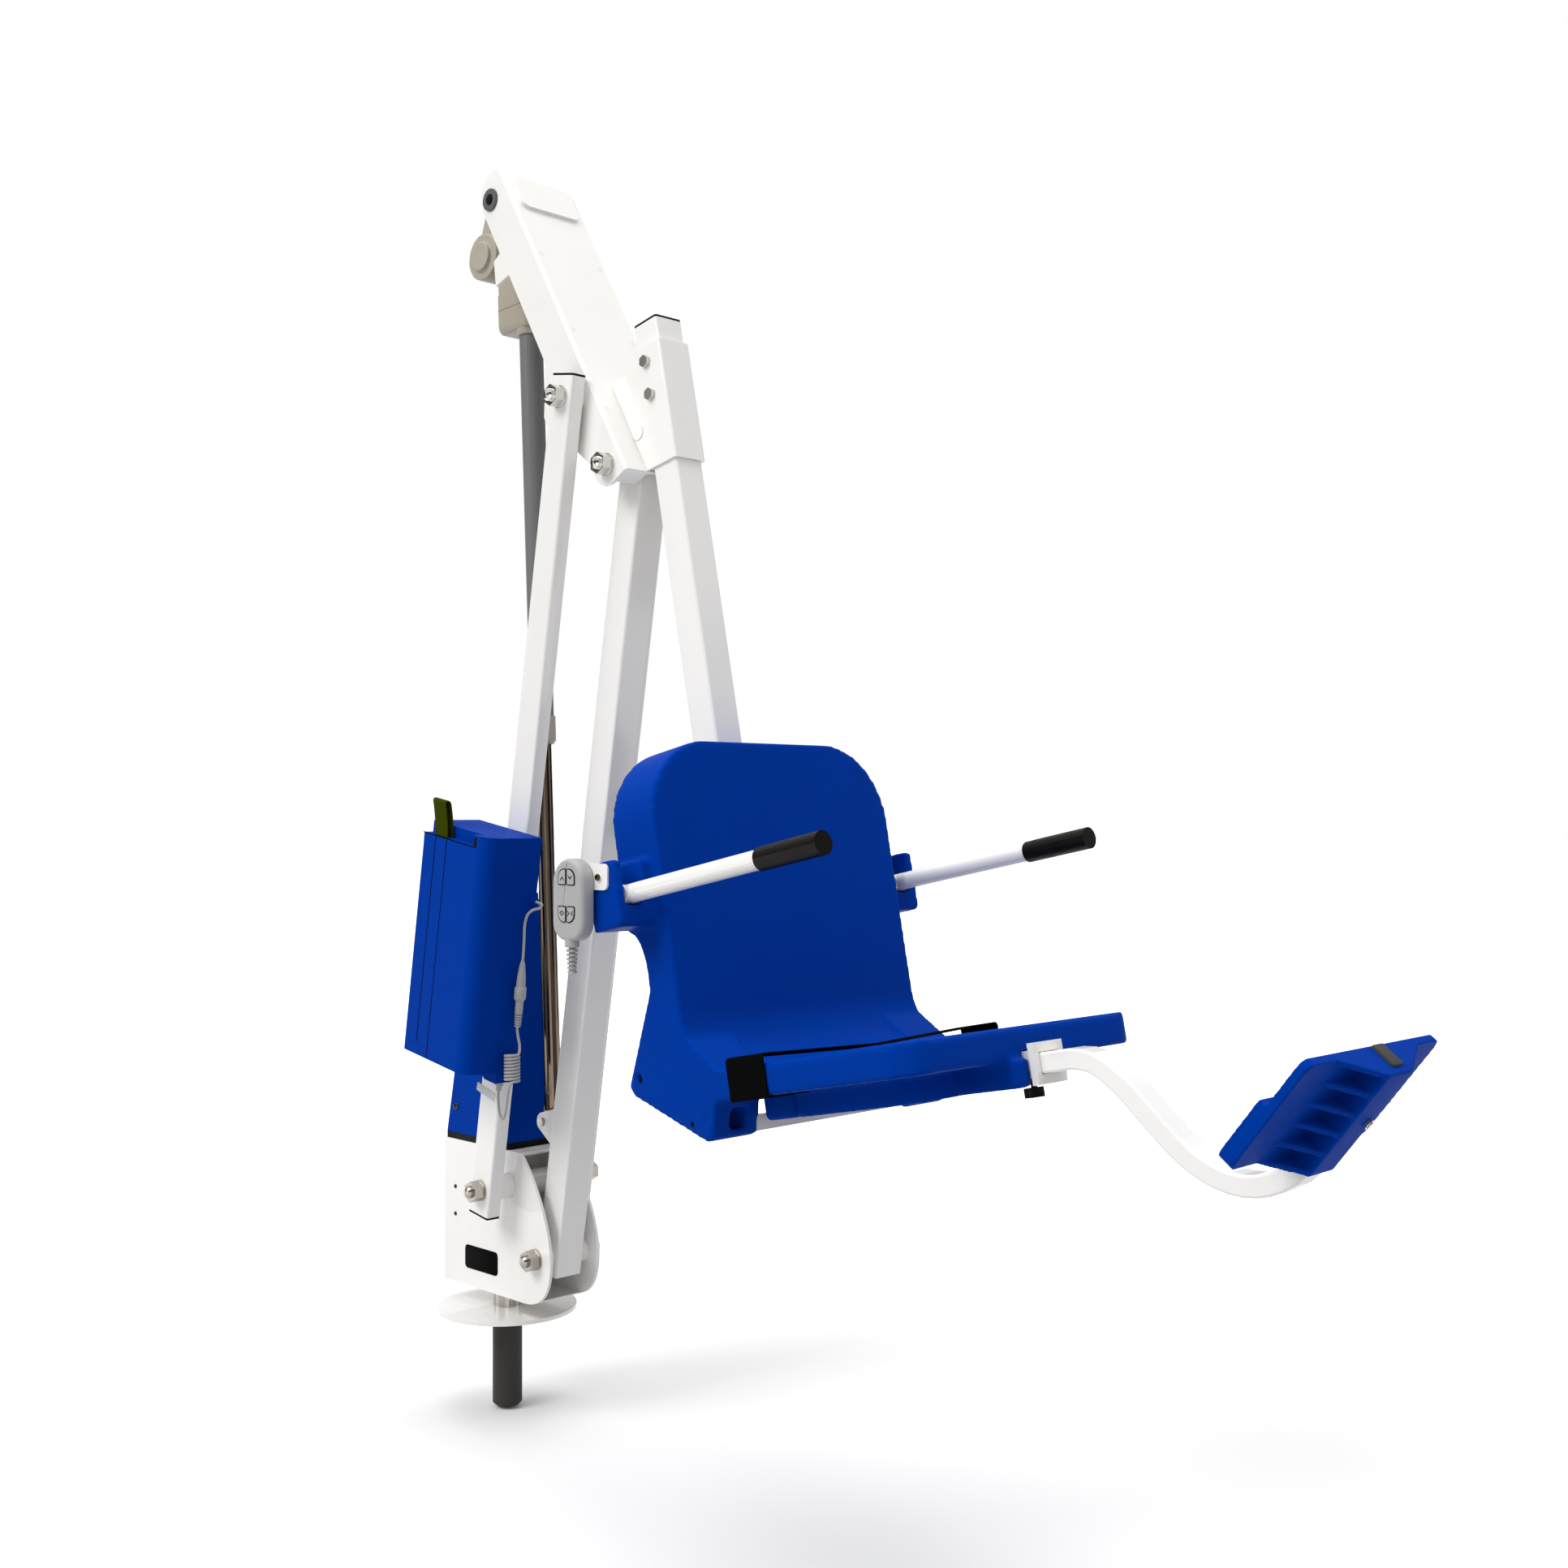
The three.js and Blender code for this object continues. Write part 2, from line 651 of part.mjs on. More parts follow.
function polygonFlat(points) {
  const shape = new THREE.Shape();
  points.forEach(([x, y], i) => (i ? shape.lineTo(x, y) : shape.moveTo(x, y)));
  return shape;
}

function headPieces() {
  const group = frameAt(headX, 0, headZ, -headLean);
  const inner = headHalf - headPlate;
  const [pinX, pinZ] = intoHead(topPinX, topPinZ);
  const [linkX, linkZ] = intoHead(linkPivotX + linkLength * Math.sin(lean),
    linkPivotZ + linkLength * Math.cos(lean));
  const sides = sideSlab(headShape(), -headHalf, headHalf, 8)
    .subtract(boxBetween(headWing - 4 * over, headFront - headPlate, -inner, inner, -lugRadius - over,
      headLength + 4 * lugRadius))
    .subtract(boxBetween(headFront - headPlate - over, headFront + 3 * over,
      -inner + headReturn, inner - headReturn, -lugRadius + headLip, headPlateEnd));
  const pad = frontSlab(roundedRect(-padHalf, padHalf, padLow, padLow + padHigh, padCorner),
    headFront - 1, headFront + padProud, 4);
  // Bottom plate between the sides, with a mouth for the mast's head
  const mouth = flatSlab(roundedRect(-2 * lugRadius, headFront - headPlate, -inner + headReturn,
    inner - headReturn, 8), -lugRadius - over, -lugRadius + headPlate + over, 4);
  const floor = boxBetween(0, headFront, -inner - over, inner + over, -lugRadius, -lugRadius + headPlate)
    .subtract(mouth);
  let frame = union(sides, pad, floor)
    .subtract(rodY(bushingRadius + gap, -headHalf - over, headHalf + over, pinX, pinZ))
    .subtract(rodY(boltRadius + gap, -headHalf - over, headHalf + over, 0, 0))
    .subtract(rodY(crossTubeRadius + gap, -headHalf - over, headHalf + over, linkX, linkZ));
  [-1, 1].forEach((side) => {
    const edge = polygonFlat([
      [headFront - headFold - over, side * (headHalf + over)], [headFront + over, side * (headHalf + over)],
      [headFront + over, side * (headHalf - headFold - over)],
    ]);
    frame = frame.subtract(flatSlab(edge, -2 * lugRadius, 2 * headLength));
  });
  group.add(piece('head_frame', frame, finish.whitePaint));
  const proud = headHalf + bushingProud;
  const eyeHalf = actuatorEyeHalf + 0.5;
  const bushing = rodY(bushingRadius, -proud, proud, pinX, pinZ)
    .subtract(rodY(bushingBore, -proud - over, -eyeHalf, pinX, pinZ))
    .subtract(rodY(bushingBore, eyeHalf, proud + over, pinX, pinZ))
    .subtract(rodY(bushingRadius + over, -eyeHalf, eyeHalf, pinX, pinZ)
      .subtract(rodY(topPinRadius, -eyeHalf, eyeHalf, pinX, pinZ)));
  group.add(piece('head_bushing', bushing, finish.greyBronze));
  lift.add(group);
  const bolt = throughBolt(headHalf + gap, headX, headZ);
  lift.add(piece('head_pivot_bolt', bolt, finish.stainless));
  const sleeveHalf = inner - gap;
  const sleeve = rodY(pivotTubeRadius, -sleeveHalf, sleeveHalf, headX, headZ)
    .subtract(rodY(boltRadius + gap, -sleeveHalf - over, sleeveHalf + over, headX, headZ));
  lift.add(piece('head_pivot_sleeve', sleeve, finish.whitePaint));
  const topX = linkPivotX + linkLength * Math.sin(lean);
  const topZ = linkPivotZ + linkLength * Math.cos(lean);
  const tube = rodY(crossTubeRadius, -crossTubeEnd, crossTubeEnd, topX, topZ)
    .subtract(rodY(boltRadius + gap, -crossTubeEnd - over, crossTubeEnd + over, topX, topZ));
  lift.add(piece('upper_link_tube', tube, finish.whitePaint));
}

const actuatorEyeHalf = 14;
const topPinRadius = 10;

// Linear actuator between the head's top pin and the mast's lug
const tubeRadius = 19;
const rodRadius = 13.5;
const noseRadius = 21.5;
const noseLong = 45;
const rodInTube = 90;            // length of rod inside the tube when fully out
const tubeTopDrop = 172;
const tubeEndDrop = 820;
const motorDrumRadius = 38;
const motorDrumHalf = 32;
const motorDrumX = -25;
const motorDrumZ = 1720;
const gearboxHalf = 27;

function actuatorPieces() {
  const dx = lugPinX - topPinX;
  const dz = topPinZ - lugPinZ;
  const span = Math.hypot(dx, dz);
  const turn = -Math.atan2(dx, dz);
  const group = frameAt(topPinX, 0, topPinZ, turn);
  const into = (x, z) => {
    const ex = x - topPinX;
    const ez = z - topPinZ;
    return [ex * Math.cos(turn) - ez * Math.sin(turn), ex * Math.sin(turn) + ez * Math.cos(turn)];
  };
  const [drumX, drumZ] = into(motorDrumX, motorDrumZ);
  const block = new THREE.Shape();
  block.moveTo(-34, -tubeTopDrop + 6);
  block.quadraticCurveTo(-46, -tubeTopDrop + 16, -48, -tubeTopDrop + 34);
  block.lineTo(-52, -70);
  block.lineTo(-14, -bushingRadius - 2.5);
  block.lineTo(14, -bushingRadius - 2.5);
  block.lineTo(22, -40);
  block.lineTo(22, -tubeTopDrop);
  block.lineTo(-16, -tubeTopDrop);
  const body = sideSlab(block, -gearboxHalf, gearboxHalf, 6);
  const eye = rodY(motorEyeRadius, -actuatorEyeHalf, actuatorEyeHalf)
    .add(boxBetween(-motorEyeRadius * 0.8, motorEyeRadius * 0.8, -actuatorEyeHalf, actuatorEyeHalf, -26, 0));
  const drum = rodY(motorDrumRadius, -motorDrumHalf, motorDrumHalf, drumX, drumZ)
    .add(rodY(motorDrumRadius * 0.62, -motorDrumHalf - 6, motorDrumHalf + 6, drumX, drumZ))
    .add(boxBetween(drumX - motorDrumRadius - 4, drumX, -motorDrumHalf * 0.9, motorDrumHalf * 0.9,
      drumZ - 6, drumZ + 6));
  const spire = new THREE.Shape();
  spire.moveTo(drumX - 30, drumZ + 20);
  spire.lineTo(drumX - 16, drumZ + 56);
  spire.lineTo(drumX - 8, drumZ + 74);
  spire.lineTo(drumX + 4, drumZ + 70);
  spire.lineTo(-22, -34);
  spire.lineTo(-20, -60);
  const housing = union(body, eye, drum, sideSlab(spire, -18, 18))
    .subtract(rodY(topPinRadius + gap, -60, 60));
  group.add(piece('actuator_housing', housing, finish.beigePlastic));
  const tube = rodZ(tubeRadius, -tubeEndDrop, -tubeTopDrop - gap, 0, 0)
    .subtract(rodZ(rodRadius + 1.2, -tubeEndDrop - over, -tubeTopDrop - 25, 0, 0));
  group.add(piece('actuator_tube', tube, finish.greyPaint));
  const nose = turned([
    [0, -tubeEndDrop - noseLong], [noseRadius - 4, -tubeEndDrop - noseLong],
    [noseRadius, -tubeEndDrop - noseLong + 6], [noseRadius, -tubeEndDrop - gap], [0, -tubeEndDrop - gap],
  ]).subtract(rodZ(rodRadius + 0.4, -tubeEndDrop - noseLong - over, -tubeEndDrop + over));
  group.add(piece('actuator_nose', nose, finish.beigePlastic));
  const rod = union(
    rodZ(rodRadius, -span + 26, -tubeEndDrop + rodInTube, 0, 0),
    rodZ(rodRadius + 0.5, -span + 17, -span + 42, 0, 0, smallSides),
    sideSlab(roundedRect(-13, 13, -span - 13, -span + 30, 12), -9, 9, 5),
  ).subtract(rodY(lugBoltRadius + 1, -20, 20, 0, -span));
  group.add(piece('actuator_rod', rod, finish.stainless));
  lift.add(group);
}

const motorEyeRadius = 16;

// Leg tube, bracket and cap
const bracketBoltSpots = [['upper', legTopX + 8.6, legTopZ - 60.4], ['lower', legTopX + 19.6, legTopZ - 110.4]];
const bracketBoltRadius = 5;

function legHole(x, z) {
  const dx = x - legTopX;
  const dz = z - legTopZ;
  const lx = dx * Math.cos(legLean) + dz * Math.sin(legLean);
  const lz = -dx * Math.sin(legLean) + dz * Math.cos(legLean);
  return rodY(bracketBoltRadius + gap, -2 * legSize, 2 * legSize, lx, lz, smallSides);
}

function legPieces() {
  const group = frameAt(legTopX, 0, legTopZ, -legLean);
  let tube = squareTube(legSize, legSize, legWall, -legLength, 0);
  bracketBoltSpots.forEach(([, x, z]) => {
    tube = tube.subtract(legHole(x, z));
  });
  group.add(piece('leg_tube', tube, finish.whitePaint));
  const capShape = roundedRect(-legSize / 2, legSize / 2, -legSize / 2, legSize / 2, tubeCorner);
  group.add(piece('leg_cap', flatSlab(capShape, gap, gap + capThick, 3), finish.blackPlastic));
  const inside = legSize / 2 + bracketGap;
  const outside = inside + bracketWall;
  const low = -bracketTop - bracketLength;
  const sleeve = flatSlab(roundedRect(-outside, outside, -outside, outside, tubeCorner), low, -bracketTop, 3);
  // The gusset reaches back to the head's front face.
  const frontLine = (z) => {
    const startX = legTopX - z * Math.sin(legLean) - headX;
    const startZ = legTopZ + z * Math.cos(legLean) - headZ;
    const ahead = startX * Math.cos(headLean) + startZ * Math.sin(headLean);
    return (headFront - ahead) / Math.cos(headLean - legLean);
  };
  const highFoot = -bracketTop - 28;
  const weld = gap / Math.cos(headLean - legLean);
  const gusset = polygon([
    [frontLine(low) + weld, low], [0, low], [0, -bracketTop - 24], [frontLine(highFoot) + weld, highFoot],
  ]);
  const plates = union(
    sideSlab(gusset, -outside, -inside),
    sideSlab(gusset, inside, outside),
  );
  const boss = rodY(bossRadius, -outside - bossProud, outside + bossProud, -legSize / 2 - 18, low + 63);
  const cavity = flatSlab(roundedRect(-inside, inside, -inside, inside, tubeCorner), low - over, over, 3);
  const between = boxBetween(-3 * legSize, 0, -inside, inside, low - over, -bracketTop + over);
  let bracket = union(sleeve, union(plates, boss).subtract(between)).subtract(cavity);
  bracketBoltSpots.forEach(([, x, z]) => {
    bracket = bracket.subtract(legHole(x, z));
  });
  group.add(piece('sleeve_bracket', bracket, finish.whitePaint));
  lift.add(group);
}

// Seat shell, in the seat's own frame: u forward along the pan, w up along the back
function seatProfile() {
  const shape = new THREE.Shape();
  const filletShare = 0.45;
  shape.moveTo(0, backHigh);
  shape.lineTo(0, backFillet);
  shape.bezierCurveTo(0, backFillet * filletShare, backFillet * filletShare, 0, backFillet, 0);
  shape.lineTo(panLong - edgeRound, 2);
  shape.quadraticCurveTo(panLong, 2, panLong, -edgeRound);
  shape.lineTo(panLong, -panThick + edgeRound);
  shape.quadraticCurveTo(panLong, -panThick, panLong - edgeRound, -panThick);
  shape.lineTo(wedgeFront + 14, -panThick);
  shape.lineTo(-waistThick, -panThick);
  shape.lineTo(-waistThick - 4, waistHigh - 20);
  shape.quadraticCurveTo(-waistThick, waistHigh + 30, -backThick + 14, waistHigh + 52);
  shape.quadraticCurveTo(-backThick, waistHigh + 58, -backThick, waistHigh + 78);
  shape.lineTo(-backThick, backHigh - 12);
  shape.quadraticCurveTo(-backThick, backHigh, -backThick + 14, backHigh);
  return shape;
}

function backFrontShape() {
  const shape = new THREE.Shape();
  const low = -2 * tubDeep;
  shape.moveTo(-seatHalf, low);
  shape.lineTo(seatHalf, low);
  shape.lineTo(seatHalf, backHigh - backCorner);
  shape.absarc(seatHalf - backCorner, backHigh - backCorner, backCorner, 0, Math.PI / 2);
  shape.lineTo(-seatHalf + backCorner, backHigh);
  shape.absarc(-seatHalf + backCorner, backHigh - backCorner, backCorner, Math.PI / 2, Math.PI);
  return shape;
}

function earShape() {
  const shape = new THREE.Shape();
  shape.moveTo(earRear, earBottom);
  shape.lineTo(earFront - edgeRound, earBottom);
  shape.quadraticCurveTo(earFront, earBottom, earFront, earBottom + edgeRound);
  shape.lineTo(earFront, earTop - edgeRound);
  shape.quadraticCurveTo(earFront, earTop, earFront - edgeRound, earTop);
  shape.lineTo(earRear, earTop);
  return shape;
}

function seatPieces() {
  const group = frameAt(seatX, 0, seatZ, -seatTilt);
  const plan = roundedRect(-2 * backThick, panLong, -seatHalf, seatHalf, panCorner);
  let shell = sideSlab(seatProfile(), -seatHalf, seatHalf, 8)
    .intersect(frontSlab(backFrontShape(), -3 * backThick, 2 * panLong, 10))
    .intersect(flatSlab(plan, -2 * backHigh, 2 * backHigh, 6));
  // The tub under the pan
  const tubShape = roundedRect(backFillet + 20, panLong - tubFrontInset, -seatHalf + tubInset,
    seatHalf - tubInset, 30);
  shell = shell.add(flatSlab(tubShape, -tubDeep, -panThick + 1, 5));
  const nose = roundedRect(panLong / 2, noseEnd, -noseHalf, noseHalf, edgeRound);
  shell = shell.add(flatSlab(nose, -tubDeep, -panThick + 1, 4));
  // Wedge feet at the rear, one each side
  const wedge = polygon([
    [wedgeRear, wedgeRearHigh], [wedgeRear + 7, wedgeRearHigh - 13], [wedgeFront - 12, wedgeDeep],
    [wedgeFront, wedgeDeep + 3], [wedgeFront + 14, -panThick + 1], [backFillet, -panThick / 2],
    [-waistThick / 2, backFillet], [-waistThick - 3, waistHigh - 22],
  ]);
  [-1, 1].forEach((side) => {
    const outer = side * seatHalf;
    const inner = side * (seatHalf - wedgeWide);
    shell = shell.add(sideSlab(wedge, Math.min(outer, inner), Math.max(outer, inner)));
    const earOuter = side * (seatHalf + earReach);
    const earInner = side * (seatHalf - over);
    shell = shell.add(sideSlab(earShape(), Math.min(earOuter, earInner), Math.max(earOuter, earInner), 4));
    const squareY = side * (seatHalf - 45);
    shell = shell.subtract(boxBetween(wedgeFront - 34, wedgeFront + 40, squareY - 14, squareY + 14,
      wedgeDeep + 12, wedgeDeep + 38));
    [[wedgeRear + 23, wedgeRearHigh + 10], [wedgeFront - 3, wedgeDeep + 30]].forEach(([u, w]) => {
      const tip = side * (seatHalf - 14);
      const end = side * (seatHalf + over);
      shell = shell.subtract(rodY(4, Math.min(tip, end), Math.max(tip, end), u, w, smallSides));
    });
    const slotY = side * armAcross;
    shell = shell.subtract(boxBetween(earFront - slotDeep, earFront + over, slotY - slotHalf, slotY + slotHalf,
      armPivotW - armRadius - 2.5, earTop + over))
      .subtract(rodY(armPin + gap, slotY - slotHalf - armPinReach - gap, slotY + slotHalf + armPinReach + gap,
        armPivotU, armPivotW, smallSides));
  });
  // The leg's groove up the rear, and the tunnel for the footrest receiver
  const legWays = legSize / 2 + 1.2;
  const groove = boxBetween(-legWays, legWays, -legWays, legWays, -legLength - 8 * over, 0);
  const legTurn = (legLean - seatTilt) / deg;
  const du = (legTopX - seatX) * Math.cos(seatTilt) + (legTopZ - seatZ) * Math.sin(seatTilt);
  const dw = -(legTopX - seatX) * Math.sin(seatTilt) + (legTopZ - seatZ) * Math.cos(seatTilt);
  shell = shell.subtract(groove.rotate([0, -legTurn, 0]).translate([du, 0, dw]))
    .subtract(boxBetween(-backThick - over, noseEnd + over, -receiverHalfWide - 1, receiverHalfWide + 1,
      -2 * tubDeep, receiverDrop + receiverHalfHigh + 1))
    .subtract(boxBetween(-2 * backThick, receiverEnd - receiverLong + 13, -legWays, legWays,
      -2 * tubDeep, dw - legLength * Math.cos(legLean - seatTilt) + 1));
  group.add(piece('seat_shell', shell, finish.bluePlastic));
  group.add(frameSolid(du, dw));
  group.add(beltSolid());
  lift.add(group);
}

const receiverHalfWide = footWide / 2 + receiverSlip + receiverWall;
const receiverHalfHigh = footThick / 2 + receiverSlip + receiverWall;

// White frame under the pan: a receiver tube for the footrest, with its end plate, on a foot under the leg
function frameSolid(du, dw) {
  const startU = receiverEnd - receiverLong;
  const footU = du + legLength * Math.sin(legLean - seatTilt);
  const footW = dw - legLength * Math.cos(legLean - seatTilt);
  const tube = boxBetween(startU, receiverEnd, -receiverHalfWide, receiverHalfWide,
    receiverDrop - receiverHalfHigh, receiverDrop + receiverHalfHigh);
  const plate = boxBetween(receiverEnd - receiverPlateThick, receiverEnd, -receiverPlateHalf, receiverPlateHalf,
    receiverDrop - receiverPlateHigh / 2, receiverDrop + receiverPlateHigh / 2);
  const bore = boxBetween(startU - 2 * over, receiverEnd + over, -footWide / 2 - receiverSlip,
    footWide / 2 + receiverSlip, receiverDrop - footThick / 2 - receiverSlip,
    receiverDrop + footThick / 2 + receiverSlip);
  const seat = boxBetween(footU - legSize / 2 - 4, startU + 12, -legSize / 2, legSize / 2,
    footW - 8, footW - gap);
  const web = boxBetween(startU - 2, startU + 12, -receiverHalfWide, receiverHalfWide,
    receiverDrop - receiverHalfHigh, footW - 1);
  const cross = boxBetween(startU + 14, startU + 44, -seatHalf + wedgeWide + gap, seatHalf - wedgeWide - gap,
    receiverDrop - receiverHalfHigh - 20, receiverDrop - receiverHalfHigh + 1);
  const knobHole = rodZ(knobStem + 0.5, receiverDrop - 3 * receiverHalfHigh, receiverDrop,
    receiverEnd - knobBack, 0, smallSides);
  const solid = union(tube, seat, web, cross).add(plate).subtract(bore).subtract(knobHole);
  return piece('seat_frame', solid, finish.steelGrey);
}

const knobStem = 4;
const knobBack = 30;
const beltWide = 56;
const beltU = 118;
const beltThick = 2.5;
const beltSlack = 12;

// The lap belt, a band round the pan
function beltSolid() {
  const half = seatHalf + gap;
  const low = -panThick - gap;
  const outside = roundedRect(-half - beltThick, half + beltThick, low - beltThick, beltSlack + beltThick, beltThick);
  const inside = roundedRect(-half, half, low, beltSlack, beltThick / 5);
  const band = frontSlab(outside, beltU - beltWide / 2, beltU + beltWide / 2, 4)
    .subtract(frontSlab(inside, beltU - beltWide, beltU + beltWide, 4));
  const tubGap = boxBetween(beltU - beltWide, beltU + beltWide, -seatHalf + tubInset - 1, seatHalf - tubInset + 1,
    -2 * tubDeep, -panThick);
  return piece('seat_belt', band.subtract(tubGap), finish.webbing);
}

// Armrests that swing up in the slots of the ears
function armPieces() {
  [['near', -1], ['far', 1]].forEach(([name, side]) => {
    const group = frameAt(seatX, side * armAcross, seatZ, -seatTilt);
    const tube = rodX(armRadius, armPivotU, armPivotU + armLong, 0, armPivotW)
      .add(rodY(armRadius, -armRadius, armRadius, armPivotU, armPivotW))
      .add(rodY(armPin, -slotHalf - armPinReach, slotHalf + armPinReach, armPivotU, armPivotW, smallSides));
    group.add(piece(`${name}_armrest_tube`, tube, finish.whitePaint));
    const end = armPivotU + armLong;
    const grip = rodX(gripRadius, end - gripLong, end + 3, 0, armPivotW)
      .subtract(rodX(armRadius + gripSkin, end - gripLong - over, end + gripSkin, 0, armPivotW));
    group.add(piece(`${name}_grip`, grip, finish.blackFoam));
    lift.add(group);
  });
}

// Footrest tube: leaves the receiver, dips and rises into the foot plate
const footStraight = 44;
const footTurn = 38 * deg;
const footTopX = seatX + 811.5;
const footTopZ = seatZ + 92.8;
const footLong = 148;
const footHalf = 144;
const footSheet = 11.4;
const footHeel = 9.6;
const footHeelHigh = 82.7;
const spineFace = 43;
const spineHalf = 25;
const spineFoot = 90;
const socketK = 26;
const socketDeep = 93;
const footSlip = 0.35;
const footLead = 10;
const pocketCount = 5;
const pocketPitch = 28.3;
const pocketHigh = 21.3;
const pocketTop = 6.5;
const pocketHalf = 28;
const footRoute = [
  [469.5, 41.8], [507.5, 21.8], [549.5, -13.2], [594.5, -49.2],
  [634.5, -68.2], [669.5, -73.4], [703.5, -66.7],
].map(([x, z]) => [seatX + x, seatZ + z]);

function footPieces() {
  const group = frameAt(seatX, 0, seatZ, -seatTilt);
  const toSeat = (x, z) => new THREE.Vector3(
    (x - seatX) * Math.cos(seatTilt) + (z - seatZ) * Math.sin(seatTilt),
    0,
    -(x - seatX) * Math.sin(seatTilt) + (z - seatZ) * Math.cos(seatTilt),
  );
  const points = [-footInside, -footInside / 2, -footStraight / 2, footStraight / 2, footStraight].map(
    (along) => new THREE.Vector3(receiverEnd + along, 0, receiverDrop));
  footRoute.forEach(([x, z]) => points.push(toSeat(x, z)));
  [footLong + footLead, footLong, footLong - socketDeep / 2, footLong - socketDeep + footSlip + over].forEach((down) => {
    points.push(toSeat(
      footTopX + socketK * Math.cos(footTurn) - down * Math.sin(footTurn),
      footTopZ - socketK * Math.sin(footTurn) - down * Math.cos(footTurn),
    ));
  });
  const curve = new THREE.CatmullRomCurve3(points, false, 'centripetal');
  const section = roundedRect(-footThick / 2, footThick / 2, -footWide / 2, footWide / 2, tubeCorner - 1);
  const geometry = new THREE.ExtrudeGeometry(section, { steps: 44, extrudePath: curve, curveSegments: 1 });
  group.add(piece('footrest_tube', solidOf(geometry), finish.whitePaint));
  const knob = union(rodZ(knobStem, -17, 0, 0, 0, smallSides), starSolid());
  const knobMesh = piece('clamp_knob', knob, finish.blackPlastic);
  knobMesh.position.set(receiverEnd - knobBack, 0, receiverDrop - footThick / 2 - gap - 0.2);
  group.add(knobMesh);
  lift.add(group);
  footPlatePieces();
}

function starSolid() {
  const shape = new THREE.Shape();
  const lobes = 5;
  const steps = 30;
  for (let i = 0; i < steps; i++) {
    const angle = 2 * Math.PI * i / steps;
    const radius = 11.6 + 1.8 * Math.cos(lobes * angle);
    const x = radius * Math.cos(angle);
    const y = radius * Math.sin(angle);
    if (i) shape.lineTo(x, y);
    else shape.moveTo(x, y);
  }
  return flatSlab(shape, -27, -15);
}

// Foot plate in its own frame: x out of its under face, z up its slope
function footPlatePieces() {
  const group = frameAt(footTopX, 0, footTopZ, footTurn);
  const section = polygon([
    [0, -footHalf], [footSheet, -footHalf], [footSheet, -spineFoot], [spineFace, -spineHalf],
    [spineFace, spineHalf], [footSheet, spineFoot], [footSheet, footHalf], [0, footHalf],
  ]);
  const rim = roundedRect(-footHalf, footHalf, -footLong, 0, 12);
  let plate = flatSlab(section, -footLong, 0)
    .add(boxBetween(-footHeel, 1, -footHalf, footHalf, -footLong, -footLong + footHeelHigh))
    .intersect(frontSlab(rim, -footHeel - over, spineFace + over, 4));
  for (let i = 0; i < pocketCount; i++) {
    const top = -pocketTop - i * pocketPitch;
    [-1, 1].forEach((side) => {
      const inner = side * pocketHalf;
      const outer = side * (spineFoot + over);
      plate = plate.subtract(boxBetween(footSheet + 0.8, spineFace + over, Math.min(inner, outer),
        Math.max(inner, outer), top - pocketHigh, top));
    });
  }
  plate = plate
    .subtract(boxBetween(socketK - footThick / 2 - footSlip, socketK + footThick / 2 + footSlip,
      -footWide / 2 - footSlip, footWide / 2 + footSlip, -footLong - over, -footLong + socketDeep))
    .subtract(rodX(3.4, socketK, spineFace + over, footBoltY, footBoltT, smallSides));
  group.add(piece('foot_plate', plate, finish.bluePlastic));
  const bolt = union(
    rodX(3, socketK + footThick / 2 + 0.7, spineFace + 1, footBoltY, footBoltT, smallSides),
    rodX(6.5, spineFace + gap, spineFace + 3.5, footBoltY, footBoltT, smallSides),
    rodX(4.6, spineFace + 3, spineFace + 5, footBoltY, footBoltT, smallSides),
  );
  group.add(piece('foot_plate_bolt', bolt, finish.stainless));
  lift.add(group);
}

const footBoltY = 14;
const footBoltT = -74;

// Bolts through the sleeve bracket and the leg
function bracketBolts() {
  const half = legSize / 2 + bracketGap + bracketWall;
  bracketBoltSpots.forEach(([name, x, z]) => {
    const head = (side) => {
      const hex = new THREE.CylinderGeometry(9.5, 9.5, 6, 6);
      hex.translate(x, side * (half + gap + 3), z);
      return solidOf(hex);
    };
    const bolt = union(rodY(bracketBoltRadius, -half - 2, half + 2, x, z, smallSides), head(-1), head(1));
    lift.add(piece(`bracket_bolt_${name}`, bolt, finish.stainless));
  });
}

// Control box and battery pack on the near link bar, in the bar's leaning frame
const caseNear = -209;
const caseFar = -108;
const caseRear = -91.5;
const caseFront = 72;
const caseBottom = 216;
const caseRim = 557;
const caseTop = 575;
const caseLedge = 17;
const ledgeFront = 40;
const packFront = -28.5;
const packBack = -130;
const packBottom = 234;
const skirtBottom = 198;
const skirtNear = -150;
const strapNear = -206;
const strapFar = -194;
const strapRear = -66;
const strapFront = -33;
const strapHigh = 612;
const strapSheet = 2.4;
const glandZ = 479;
const glandY = -114;
const glandLong = 8;
const plugX = 60;
const plugY = -133;
const plugLow = 183;

function caseOutline() {
  const shape = new THREE.Shape();
  shape.moveTo(caseRear, caseFar);
  shape.lineTo(caseFront, caseFar);
  shape.lineTo(caseFront, caseNear + boxCorner);
  shape.absarc(caseFront - boxCorner, caseNear + boxCorner, boxCorner, 0, -Math.PI / 2, true);
  shape.lineTo(caseRear + tubeCorner, caseNear);
  shape.quadraticCurveTo(caseRear, caseNear, caseRear, caseNear + tubeCorner);
  return shape;
}

